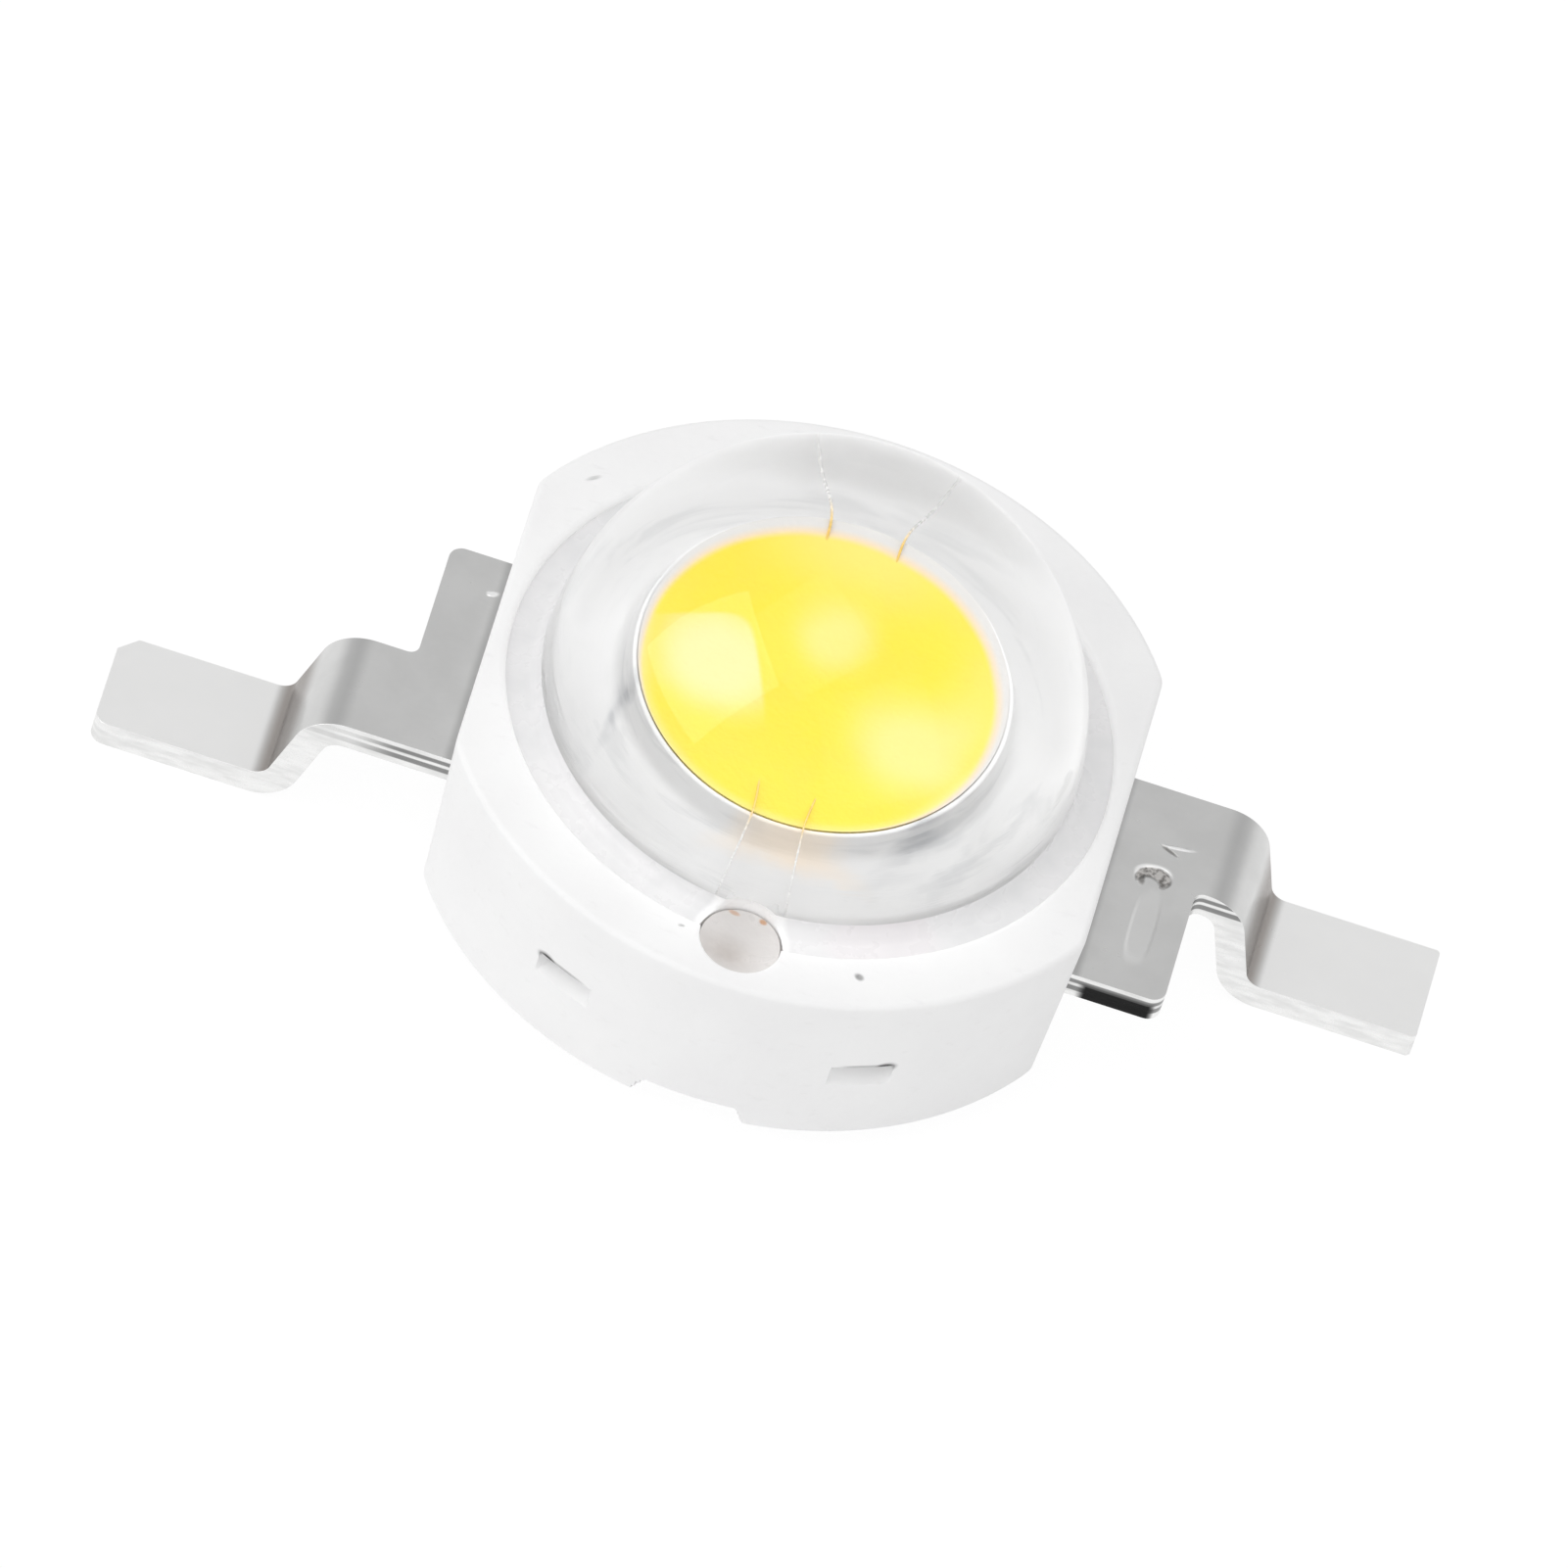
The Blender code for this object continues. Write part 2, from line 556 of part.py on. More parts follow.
def phosphor_crown(rise):
    """The crowned surface of the phosphor, from its edge to the axis, lifted by a clearance."""
    steps = 5
    points = []
    for i in range(steps + 1):
        share = 1 - i / steps
        points.append((PHOSPHOR_RADIUS * share, PHOSPHOR_EDGE_Z + rise + PHOSPHOR_CROWN * (1 - share ** 2)))
    return points


def make_phosphor(mat, wire_cutters):
    """Yellow layer that fills the cup over the chip."""
    profile = [(0.0, CUP_FLOOR_Z + FIT), (CUP_FLOOR_RADIUS - FIT, CUP_FLOOR_Z + FIT)] + phosphor_crown(0.0)
    layer = add_object("phosphor_layer", turned(profile), mat)
    bond = centred_block(DIE_SIZE / 2 + ATTACH_MARGIN, ATTACH_Z - FIT, ATTACH_Z + ATTACH_THICKNESS, FIT)
    chip = centred_block(DIE_SIZE / 2, ATTACH_Z, PAD_TOP, FIT)
    cut(layer, add_object("cut_bond", bond), add_object("cut_chip", chip))
    cut(layer, *wire_cutters)
    return layer


# Bond wires


def wire_path(x_side, y_side):
    """Route of a bond wire as (point, radius): ball, rise, loop over the cup rim, drop and stitch."""
    pad = Vector((x_side * DIE_PAD_OFFSET, y_side * (DIE_SIZE / 2 - DIE_PAD_INSET), PAD_TOP + FIT))
    neck = pad + Vector((0, 0, WIRE_NECK_HEIGHT))
    stitch = Vector((x_side * WIRE_SPREAD, y_side * (FINGER_INNER + STITCH_INSET), PLATE_TOP + FIT + WIRE_RADIUS))
    crest = CUP_RIM_Z + WIRE_LOOP_RISE
    rim_reach = CUP_RIM_RADIUS + WIRE_RIM_GAP
    share = (rim_reach - abs(pad.y)) / (abs(stitch.y) - abs(pad.y))
    over_rim = Vector((pad.x + (stitch.x - pad.x) * share, y_side * rim_reach, crest - WIRE_LOOP_RISE / 2))
    top = (pad + over_rim) / 2
    top.z = crest
    lane_radius = (slug_radius_at(RECESS_FLOOR) + LENS_BORE) / 2
    lane = Vector((stitch.x, y_side * math.sqrt(lane_radius ** 2 - stitch.x ** 2), RECESS_FLOOR))
    across = (over_rim - neck) * 0.6
    across.z = 0
    knots = [(neck, Vector((0, 0, crest - neck.z))), (top, across), (over_rim, (lane - top) * 0.5),
             (lane, (stitch - over_rim) * 0.45), (stitch, Vector((0, y_side * STITCH_LENGTH * 2, 0)))]
    path = [(pad, WIRE_BALL_RADIUS * 0.8), (pad + Vector((0, 0, WIRE_BALL_HEIGHT * 0.5)), WIRE_BALL_RADIUS),
            (pad + Vector((0, 0, WIRE_BALL_HEIGHT)), WIRE_BALL_RADIUS * 0.7)]
    for (start, start_way), (end, end_way) in zip(knots, knots[1:]):
        for i in range(WIRE_STEPS):
            t = i / WIRE_STEPS
            point = (start * (2 * t ** 3 - 3 * t ** 2 + 1) + start_way * (t ** 3 - 2 * t ** 2 + t)
                     + end * (3 * t ** 2 - 2 * t ** 3) + end_way * (t ** 3 - t ** 2))
            path.append((point, WIRE_RADIUS))
    path.append((stitch, WIRE_RADIUS))
    path.append((stitch + Vector((0, y_side * STITCH_LENGTH, 0)), WIRE_RADIUS * 0.8))
    return path


def tube(path, grow=0.0, overrun=0.0, sides=6):
    """A round tube along a route of (point, radius), with flat ends."""
    points = [point.copy() for point, _ in path]
    first = (points[1] - points[0]).normalized()
    last = (points[-1] - points[-2]).normalized()
    points[0] -= first * overrun
    points[-1] += last * overrun
    side = Vector((1, 0, 0))
    rings = []
    for i, (_, radius) in enumerate(path):
        ahead = points[min(i + 1, len(points) - 1)] - points[max(i - 1, 0)]
        ahead.normalize()
        side = (side - ahead * side.dot(ahead)).normalized()
        other = ahead.cross(side)
        ring = []
        for k in range(sides):
            turn = 2 * math.pi * (k + 0.5) / sides
            ring.append(points[i] + (side * math.cos(turn) + other * math.sin(turn)) * (radius + grow))
        rings.append(ring)
    return loft(rings)


def make_wires(mat):
    """Two wires to the front finger and two to the back one, with the cutters that clear them."""
    cutters = []
    for y_side, pole in ((1, "anode"), (-1, "cathode")):
        for number, x_side in ((1, -1), (2, 1)):
            name = "%s_bond_wire_%d" % (pole, number)
            path = wire_path(x_side, y_side)
            add_object(name, tube(path), mat)
            cutters.append(add_object("cut_" + name, tube(path, FIT, FIT * 2)))
    return cutters


def main():
    """Builds the emitter."""
    clear_scene()
    plated = material("plated_lead", (0.72, 0.72, 0.71), 0.28, metallic=1.0)
    make_heat_slug(material("plated_copper", (0.86, 0.85, 0.83), 0.20, metallic=1.0))
    make_lead("anode_lead", ANODE_TAB_SETBACK, ANODE_FOOT_CHAMFER, ANODE_FOOT_ROUND, plated)
    left = make_lead("cathode_lead", CATHODE_TAB_SETBACK, CATHODE_FOOT_CHAMFER, CATHODE_FOOT_ROUND, plated)
    half_turn(left)
    make_housing(material("white_plastic", (0.90, 0.90, 0.90), 0.45))
    make_lens(material("lens_plastic", (0.98, 0.98, 0.98), 0.03, transmission=1.0, alpha=0.35))
    make_die_attach(material("silver_epoxy", (0.70, 0.70, 0.70), 0.45, metallic=0.6))
    make_die(material("chip", (0.30, 0.36, 0.48), 0.25))
    wire_cutters = make_wires(material("gold_wire", (0.95, 0.72, 0.28), 0.25, metallic=1.0))
    make_phosphor(material("phosphor", (0.98, 0.85, 0.16), 0.55), wire_cutters)
    make_silicone(material("clear_gel", (0.97, 0.97, 0.97), 0.05, transmission=1.0, alpha=0.3), wire_cutters)


main()
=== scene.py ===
"""Looks of the high power LED emitter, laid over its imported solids. Lengths are in metres, +Z up.

The emitter is put together here as it is at the maker's: slug, lead frame, moulded body, chip, wires, phosphor,
gel and lens. Every piece takes its outer sizes from the solid that it stands for, and the rest from named values.
"""

import math

import bmesh
import bpy
import numpy as np
from mathutils import Matrix, Vector


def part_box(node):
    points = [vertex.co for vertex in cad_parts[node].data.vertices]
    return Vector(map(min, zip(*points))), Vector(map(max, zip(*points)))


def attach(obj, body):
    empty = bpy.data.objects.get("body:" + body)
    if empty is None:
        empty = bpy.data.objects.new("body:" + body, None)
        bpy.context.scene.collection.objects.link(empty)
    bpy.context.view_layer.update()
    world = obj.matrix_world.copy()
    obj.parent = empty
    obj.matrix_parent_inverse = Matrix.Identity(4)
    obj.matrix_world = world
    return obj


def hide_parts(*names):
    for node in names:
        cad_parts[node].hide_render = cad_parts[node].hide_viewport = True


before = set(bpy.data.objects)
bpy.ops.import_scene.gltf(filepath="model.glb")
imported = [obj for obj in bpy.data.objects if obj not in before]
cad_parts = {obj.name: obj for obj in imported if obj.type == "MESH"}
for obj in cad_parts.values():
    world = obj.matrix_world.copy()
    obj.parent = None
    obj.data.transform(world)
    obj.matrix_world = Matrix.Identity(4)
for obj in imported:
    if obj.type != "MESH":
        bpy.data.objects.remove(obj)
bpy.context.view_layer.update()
scene = bpy.context.scene
mm = 0.001

# Camera. The picture looks down on the emitter from the front at about fifty degrees, through a long lens and with
# the camera rolled, so that the lead on the right hangs lower than the one on the left.

AZIMUTH = -0.0192
ELEVATION = 0.8622
ROLL = 0.3255
DISTANCE = 0.303
FOCAL_LENGTH = 657.7
AIM = Vector((-0.0542, -1.3434, 2.7872)) * mm

away = Vector((math.sin(AZIMUTH) * math.cos(ELEVATION), -math.cos(AZIMUTH) * math.cos(ELEVATION),
               math.sin(ELEVATION)))
level = Vector((math.cos(AZIMUTH), math.sin(AZIMUTH), 0.0))
upright = away.cross(level)
across = level * math.cos(ROLL) + upright * math.sin(ROLL)
upward = upright * math.cos(ROLL) - level * math.sin(ROLL)
camera = bpy.data.objects.new("camera", bpy.data.cameras.new("camera"))
camera.data.lens = FOCAL_LENGTH
camera.data.clip_start = DISTANCE / 10
camera.data.clip_end = DISTANCE * 40
camera.matrix_world = (Matrix.Translation(AIM + away * DISTANCE)
                       @ Matrix((across, upward, away)).transposed().to_4x4())
scene.collection.objects.link(camera)
scene.camera = camera
scene.view_settings.view_transform = "Standard"
scene.cycles.blur_glossy = 0.0
scene.cycles.max_bounces = 24
scene.cycles.diffuse_bounces = 12
scene.cycles.glossy_bounces = 16
scene.cycles.transmission_bounces = 16

# Floor and light. A pale sweep under an even sky, both plain white to the camera, and three soft boxes: a large one
# low on the left, one overhead and one low on the right. The floor keeps a faint shadow. In a gloss the sky is duller
# overhead, and through the lens it shines more strongly from behind.

FLOOR_SIZE = 3.0
FLOOR_SQUARES = 8
FLOOR_DROP = 0.01 * mm
FLOOR_COLOUR = (0.86, 0.86, 0.86)
SHADOW_SHARE = 0.10
PAPER_WHITE = 1.04
SKY_STRENGTH = 0.70
CEILING_STRENGTH = 0.74
CEILING_THROUGH_LENS = 0.90
BACK_THROUGH_LENS = 0.90
BACK_START = 0.10
BACK_FULL = 0.80
CEILING_START = 0.30
CEILING_END = 0.62
BOX_DISTANCE = 0.40
LEFT_BOX = Vector((-0.739, -0.364, 0.567))
LEFT_SIZE = 0.34
LEFT_POWER = 0.40
TOP_BOX = Vector((-0.172, -0.190, 0.967))
TOP_SIZE = 0.30
TOP_POWER = 0.030
RIGHT_BOX = Vector((0.519, -0.611, 0.598))
RIGHT_SIZE = 0.36
RIGHT_POWER = 0.035
SOFT_SPREAD = math.radians(70)


def add_node(tree, kind, inputs=(), **settings):
    """Adds a shader node, with values or links for its numbered or named inputs."""
    made = tree.nodes.new("ShaderNode" + kind)
    for name, value in settings.items():
        setattr(made, name, value)
    for socket, value in dict(inputs).items():
        if isinstance(value, bpy.types.NodeSocket):
            tree.links.new(value, made.inputs[socket])
        else:
            made.inputs[socket].default_value = value
    return made


def math_of(tree, kind, *values, **settings):
    """The result of a Math node for values or links."""
    return add_node(tree, "Math", dict(enumerate(values)), operation=kind, **settings).outputs[0]


def shaped(tree, socket, low, high, to_low=0.0, to_high=1.0):
    """A value mapped smoothly from one range to another, held at its ends."""
    made = add_node(tree, "MapRange", {0: socket, 1: low, 2: high, 3: to_low, 4: to_high},
                    interpolation_type="SMOOTHSTEP")
    return made.outputs[0]


def put_in_scene(name, mesh):
    """Links a mesh to the scene as an object at the origin."""
    piece = bpy.data.objects.new(name, mesh)
    scene.collection.objects.link(piece)
    return piece


def soft_box(name, direction, size, power, spread):
    """A square lamp that faces the emitter. A spread under half a turn fades it towards its edges."""
    lamp = bpy.data.objects.new(name, bpy.data.lights.new(name, "AREA"))
    lamp.data.energy = power
    lamp.data.size = size
    lamp.data.spread = spread
    lamp.visible_camera = False
    place = direction.normalized() * BOX_DISTANCE
    lamp.matrix_world = Matrix.Translation(place) @ place.to_track_quat("Z", "Y").to_matrix().to_4x4()
    scene.collection.objects.link(lamp)


def shows_white(tree):
    """1 for the rays that see the background itself: from the camera, off metal and through the clear parts."""
    ray = add_node(tree, "LightPath").outputs
    return math_of(tree, "MAXIMUM", math_of(tree, "MAXIMUM", ray["Is Camera Ray"], ray["Is Glossy Ray"]),
                   ray["Is Transmission Ray"])


soft_box("left_box", LEFT_BOX, LEFT_SIZE, LEFT_POWER, math.pi)
soft_box("top_box", TOP_BOX, TOP_SIZE, TOP_POWER, SOFT_SPREAD)
soft_box("right_box", RIGHT_BOX, RIGHT_SIZE, RIGHT_POWER, SOFT_SPREAD)

sky = bpy.data.worlds.new("sky")
scene.world = sky
sky.use_nodes = True
tree = sky.node_tree
tree.nodes.clear()
toward = add_node(tree, "SeparateXYZ", {0: add_node(tree, "TexCoord").outputs["Generated"]}).outputs
ray = add_node(tree, "LightPath").outputs
ceiling = math_of(tree, "MULTIPLY", shaped(tree, toward["Z"], CEILING_START, CEILING_END), ray["Is Glossy Ray"])
drop = math_of(tree, "MULTIPLY_ADD", ray["Is Transmission Ray"], CEILING_THROUGH_LENS - CEILING_STRENGTH,
               CEILING_STRENGTH - 1)
behind = shaped(tree, toward["Y"], BACK_START, BACK_FULL, 0.0, BACK_THROUGH_LENS)
strength = math_of(tree, "MULTIPLY_ADD", behind, ray["Is Transmission Ray"],
                   math_of(tree, "MULTIPLY_ADD", ceiling, drop, 1.0))
plain = add_node(tree, "Background", {"Color": (1, 1, 1, 1), "Strength": strength}).outputs[0]
soft = add_node(tree, "Background", {"Color": (1, 1, 1, 1), "Strength": SKY_STRENGTH}).outputs[0]
choice = add_node(tree, "MixShader", {0: shows_white(tree), 1: soft, 2: plain})
add_node(tree, "OutputWorld", {"Surface": choice.outputs[0]})

lines = FLOOR_SQUARES + 1
steps = np.linspace(-FLOOR_SIZE / 2, FLOOR_SIZE / 2, lines)
east, north = np.meshgrid(steps, steps)
points = np.stack([east, north, np.full_like(east, -FLOOR_DROP)], axis=-1).reshape(-1, 3)
corner = (np.arange(FLOOR_SQUARES)[:, None] * lines + np.arange(FLOOR_SQUARES)).ravel()
squares = np.stack([corner, corner + 1, corner + lines + 1, corner + lines], axis=1)
floor_mesh = bpy.data.meshes.new("floor")
floor_mesh.from_pydata(points.tolist(), [], squares.tolist())
floor = put_in_scene("floor", floor_mesh)
paper = bpy.data.materials.new("floor_paper")
paper.use_nodes = True
tree = paper.node_tree
tree.nodes.clear()
shaded = add_node(tree, "BsdfDiffuse", {"Color": (*FLOOR_COLOUR, 1)}).outputs[0]
white = add_node(tree, "Emission", {"Color": (1, 1, 1, 1), "Strength": PAPER_WHITE}).outputs[0]
share = math_of(tree, "MULTIPLY", shows_white(tree), 1 - SHADOW_SHARE)
choice = add_node(tree, "MixShader", {0: share, 1: shaded, 2: white})
add_node(tree, "OutputMaterial", {"Surface": choice.outputs[0]})
floor_mesh.materials.append(paper)

# Heat slug. One piece of copper, turned on a lathe and silver plated: a wide base that is soldered to the board, a
# groove and a collar that lock it in the plastic, and a drum that narrows to the bright cup that holds the chip.

FIT = 0.01 * mm
slug_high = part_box("heat_slug")[1]
SLUG_RADIUS = slug_high.x
CUP_RIM_TOP = slug_high.z
PLATE_TOP = 1.50 * mm
BASE_TOP = 0.55 * mm
GROOVE_RADIUS = 2.148 * mm
GROOVE_TOP = 0.75 * mm
COLLAR_RADIUS = 2.448 * mm
COLLAR_TOP = 0.95 * mm
DRUM_RADIUS = 1.948 * mm
DRUM_SHOULDER = 1.75 * mm
CUP_MOUTH = 1.338 * mm
CUP_FLOOR = 0.878 * mm
CUP_DEPTH = 0.40 * mm
CUP_RIM_OUTER = 1.378 * mm
CUP_RIM_HEIGHT = 0.25 * mm
TURNED_COLUMNS = 192


def ring_faces(rings, columns, closed):
    """Quads between rows of points, where point j of row i is number i * columns + j and each row is a ring."""
    rows = np.arange(rings if closed else rings - 1)[:, None]
    side = np.arange(columns)[None, :]
    beside = (side + 1) % columns
    above = (rows + 1) % rings
    return np.stack([rows * columns + side, rows * columns + beside, above * columns + beside,
                     above * columns + side], axis=-1).reshape(-1, 4)


def surface_mesh(name, points, faces, sharp_angle=35):
    """A mesh of smooth quads that is merged at its poles and has its faces turned outwards."""
    mesh = bpy.data.meshes.new(name)
    mesh.from_pydata(points.reshape(-1, 3).tolist(), [], faces.tolist())
    shape = bmesh.new()
    shape.from_mesh(mesh)
    bmesh.ops.remove_doubles(shape, verts=shape.verts, dist=0.0002 * mm)
    bmesh.ops.dissolve_degenerate(shape, edges=shape.edges, dist=0.0002 * mm)
    bmesh.ops.recalc_face_normals(shape, faces=shape.faces)
    shape.to_mesh(mesh)
    shape.free()
    mesh.shade_smooth()
    mesh.set_sharp_from_angle(angle=math.radians(sharp_angle))
    return mesh


def eased(corners, radii, steps=5):
    """A profile with each corner replaced by a curve.

    From a distance r before the corner to r after it, the curve is the quadratic one through both points with the
    corner as its handle: (1 - t)^2 before + 2 t (1 - t) corner + t^2 after.
    """
    corners = np.asarray(corners, float)
    profile = [corners[:1]]
    t = np.linspace(0, 1, steps + 1)[:, None]
    for i in range(1, len(corners) - 1):
        back = corners[i - 1] - corners[i]
        ahead = corners[i + 1] - corners[i]
        reach = min(radii[i], 0.49 * np.linalg.norm(back), 0.49 * np.linalg.norm(ahead))
        before = corners[i] + back / np.linalg.norm(back) * reach
        after = corners[i] + ahead / np.linalg.norm(ahead) * reach
        profile.append((1 - t) ** 2 * before + 2 * t * (1 - t) * corners[i] + t ** 2 * after)
    profile.append(corners[-1:])
    return np.concatenate(profile)


def ring_row(radius, height, angle):
    """One ring's (radius, height) at every angle, from single values or from one for each angle."""
    return np.stack(np.broadcast_arrays(radius, height, angle), axis=-1)[:, :2]


def wrapped(rows, angle):
    """Rows of (radius, height) wrapped about the Z axis: each point becomes (r cos a, r sin a, z)."""
    grid = np.stack(rows)
    return np.stack([grid[..., 0] * np.cos(angle), grid[..., 0] * np.sin(angle), grid[..., 1]], axis=-1)


def turned(name, profile, columns=TURNED_COLUMNS):
    """A profile of (radius, height) turned about the Z axis."""
    angle = np.linspace(0, 2 * np.pi, columns, endpoint=False)
    points = wrapped([ring_row(radius, height, angle) for radius, height in profile], angle)
    return surface_mesh(name, points, ring_faces(len(profile), columns, False))


slug_corners = [
    (0.0, 0.0), (SLUG_RADIUS, 0.0), (SLUG_RADIUS, BASE_TOP), (GROOVE_RADIUS, BASE_TOP), (GROOVE_RADIUS, GROOVE_TOP),
    (COLLAR_RADIUS, GROOVE_TOP), (COLLAR_RADIUS, COLLAR_TOP), (DRUM_RADIUS, COLLAR_TOP), (DRUM_RADIUS, DRUM_SHOULDER),
    (CUP_RIM_OUTER, CUP_RIM_TOP - CUP_RIM_HEIGHT), (CUP_RIM_OUTER, CUP_RIM_TOP), (CUP_MOUTH, CUP_RIM_TOP),
    (CUP_FLOOR, CUP_RIM_TOP - CUP_DEPTH), (0.0, CUP_RIM_TOP - CUP_DEPTH)]
slug_rounds = np.array([0, 0.08, 0.02, 0.02, 0.02, 0.02, 0.02, 0.02, 0.12, 0.08, 0.03, 0.02, 0.04, 0]) * mm
slug = put_in_scene("plated_heat_slug", turned("plated_heat_slug", eased(slug_corners, slug_rounds)))


def finish(name, colour, roughness, metallic=0.0):
    """A material with one Principled shader, and its Object coordinates ready for patterns."""
    made = bpy.data.materials.new(name)
    made.use_nodes = True
    tree = made.node_tree
    shader = tree.nodes["Principled BSDF"]
    shader.inputs["Base Color"].default_value = (*colour, 1)
    shader.inputs["Roughness"].default_value = roughness
    shader.inputs["Metallic"].default_value = metallic
    place = add_node(tree, "TexCoord").outputs["Object"]
    return made, tree, shader, place


def effect(name, inputs, outputs):
    """An empty node group with named inputs (name, kind, value) and named outputs (name, kind)."""
    group = bpy.data.node_groups.new(name, "ShaderNodeTree")
    for label, kind, value in inputs:
        socket = group.interface.new_socket(label, in_out="INPUT", socket_type="NodeSocket" + kind)
        if value is not None:
            socket.default_value = value
    for label, kind in outputs:
        group.interface.new_socket(label, in_out="OUTPUT", socket_type="NodeSocket" + kind)
    return group, group.nodes.new("NodeGroupInput").outputs, group.nodes.new("NodeGroupOutput").inputs


def use(tree, group, **inputs):
    """Places a node group in a material, with underscores in the names standing for spaces."""
    made = tree.nodes.new("ShaderNodeGroup")
    made.node_tree = group
    for label, value in inputs.items():
        socket = made.inputs[label.replace("_", " ")]
        if isinstance(value, bpy.types.NodeSocket):
            tree.links.new(value, socket)
        else:
            socket.default_value = value
    return made.outputs


def sum_of(tree, *sockets):
    """Adds values together."""
    total = sockets[0]
    for socket in sockets[1:]:
        total = math_of(tree, "ADD", total, socket)
    return total


def scaled(tree, socket, factor):
    """A value times a factor, which may be another value."""
    return math_of(tree, "MULTIPLY", socket, factor)


def left_of(tree, value, *taken):
    """What is left of a value when others are taken from it, and never less than 0."""
    for socket in taken:
        value = math_of(tree, "SUBTRACT", value, socket, use_clamp=True)
    return value


def blended(tree, share, first, second):
    """A colour between two, by a share from 0 to 1. A single number stands for a grey."""
    made = tree.nodes.new("ShaderNodeMix")
    made.data_type = "RGBA"
    tree.links.new(share, made.inputs[0])
    for slot, value in ((6, first), (7, second)):
        if isinstance(value, bpy.types.NodeSocket):
            tree.links.new(value, made.inputs[slot])
        else:
            made.inputs[slot].default_value = (value, value, value, 1) if isinstance(value, float) else (*value, 1)
    return made.outputs[2]


def layered(tree, tone, *layers):
    """A colour with others laid over it one after the other, each given as (share, colour)."""
    for share, colour in layers:
        tone = blended(tree, share, tone, colour)
    return tone


def coated(tree, shader, colour, roughness):
    """Sends a pattern of colour and one of roughness to the shader."""
    tree.links.new(colour, shader.inputs["Base Color"])
    tree.links.new(roughness, shader.inputs["Roughness"])


def bumped(tree, shader, height, depth):
    """Sends a height from 0 to 1 to the shader's normal as relief of the given depth in metres."""
    relief = add_node(tree, "Bump", {"Height": height, "Distance": depth, "Strength": 1.0})
    tree.links.new(relief.outputs["Normal"], shader.inputs["Normal"])


def vector_of(tree, kind, *values):
    """The vector that a Vector Math node makes of values or links."""
    return add_node(tree, "VectorMath", dict(enumerate(values)), operation=kind).outputs[0]


# Clouds: noise of a given size, from 0 to 1, that varies the colour and the gloss of every finish.
clouds, given, result = effect("clouds", [("Place", "Vector", None), ("Size", "Float", 0.001),
                                          ("Detail", "Float", 4.0)], [("Cloud", "Float")])
noise = add_node(clouds, "TexNoise", {"Vector": given["Place"], "Scale": math_of(clouds, "DIVIDE", 1.0, given["Size"]),
                                      "Detail": given["Detail"], "Roughness": 0.55})
clouds.links.new(noise.outputs["Fac"], result["Cloud"])

# Turning marks: fine rings about the Z axis, from noise over the distance to the axis.
turning, given, result = effect("turning_marks", [("Place", "Vector", None), ("Pitch", "Float", 0.00004)],
                                [("Ring", "Float")])
flat = vector_of(turning, "MULTIPLY", given["Place"], (1, 1, 0))
out = add_node(turning, "VectorMath", {0: flat}, operation="LENGTH").outputs["Value"]
ridge = add_node(turning, "TexNoise", {"W": math_of(turning, "DIVIDE", out, given["Pitch"]), "Scale": 1.0,
                                       "Detail": 2.0}, noise_dimensions="1D")
turning.links.new(ridge.outputs["Fac"], result["Ring"])

# Waves: noise drawn out along circles about the Z axis, since it reads the direction from the axis coarsely
# and the height finely. Foot is 1 below a height and falls to 0 above it.
waves, given, result = effect("round_waves", [("Place", "Vector", None), ("Pitch", "Float", 0.0001),
                                              ("Foot Low", "Float", 0.0026), ("Foot High", "Float", 0.0038)],
                              [("Wave", "Float"), ("Foot", "Float")])
up = add_node(waves, "SeparateXYZ", {0: given["Place"]}).outputs["Z"]
ahead = vector_of(waves, "NORMALIZE", vector_of(waves, "MULTIPLY", given["Place"], (1, 1, 0)))
ahead = add_node(waves, "SeparateXYZ", {0: vector_of(waves, "MULTIPLY", ahead, (1.6, 1.6, 1.6))}).outputs
drawn = add_node(waves, "CombineXYZ", {0: ahead["X"], 1: ahead["Y"], 2: math_of(waves, "DIVIDE", up, given["Pitch"])})
noise = add_node(waves, "TexNoise", {"Vector": drawn.outputs[0], "Scale": 1.0, "Detail": 3.0, "Roughness": 0.6,
                                     "Distortion": 0.6})
waves.links.new(noise.outputs["Fac"], result["Wave"])
waves.links.new(shaped(waves, up, given["Foot Low"], given["Foot High"], 1.0, 0.0), result["Foot"])

# A soft spot: 1 in the middle of a flat shape and falling smoothly to 0 at its edge. The distance from the Centre is
# (|x / Reach X|^p + |y / Reach Y|^p)^(1/p), in axes turned by Turn: p = 2 gives an ellipse, 6 nearly a rectangle.
spot, given, result = effect("soft_spot", [("Place", "Vector", None), ("Centre", "Vector", None),
                                           ("Reach", "Vector", (0.001, 0.001, 1.0)), ("Turn", "Float", 0.0),
                                           ("Square", "Float", 2.0), ("Edge", "Float", 0.5)], [("Spot", "Float")])
off = vector_of(spot, "SUBTRACT", given["Place"], given["Centre"])
off = add_node(spot, "VectorRotate", {"Vector": off, "Angle": given["Turn"]}, rotation_type="Z_AXIS").outputs[0]
off = vector_of(spot, "ABSOLUTE", vector_of(spot, "DIVIDE", off, given["Reach"]))
sides = add_node(spot, "SeparateXYZ", {0: off}).outputs
powers = [math_of(spot, "POWER", sides[axis], given["Square"]) for axis in ("X", "Y", "Z")]
size = math_of(spot, "POWER", sum_of(spot, *powers), math_of(spot, "DIVIDE", 1.0, given["Square"]))
start = math_of(spot, "SUBTRACT", 1.0, given["Edge"])
spot.links.new(shaped(spot, size, start, 1.0, 1.0, 0.0), result["Spot"])


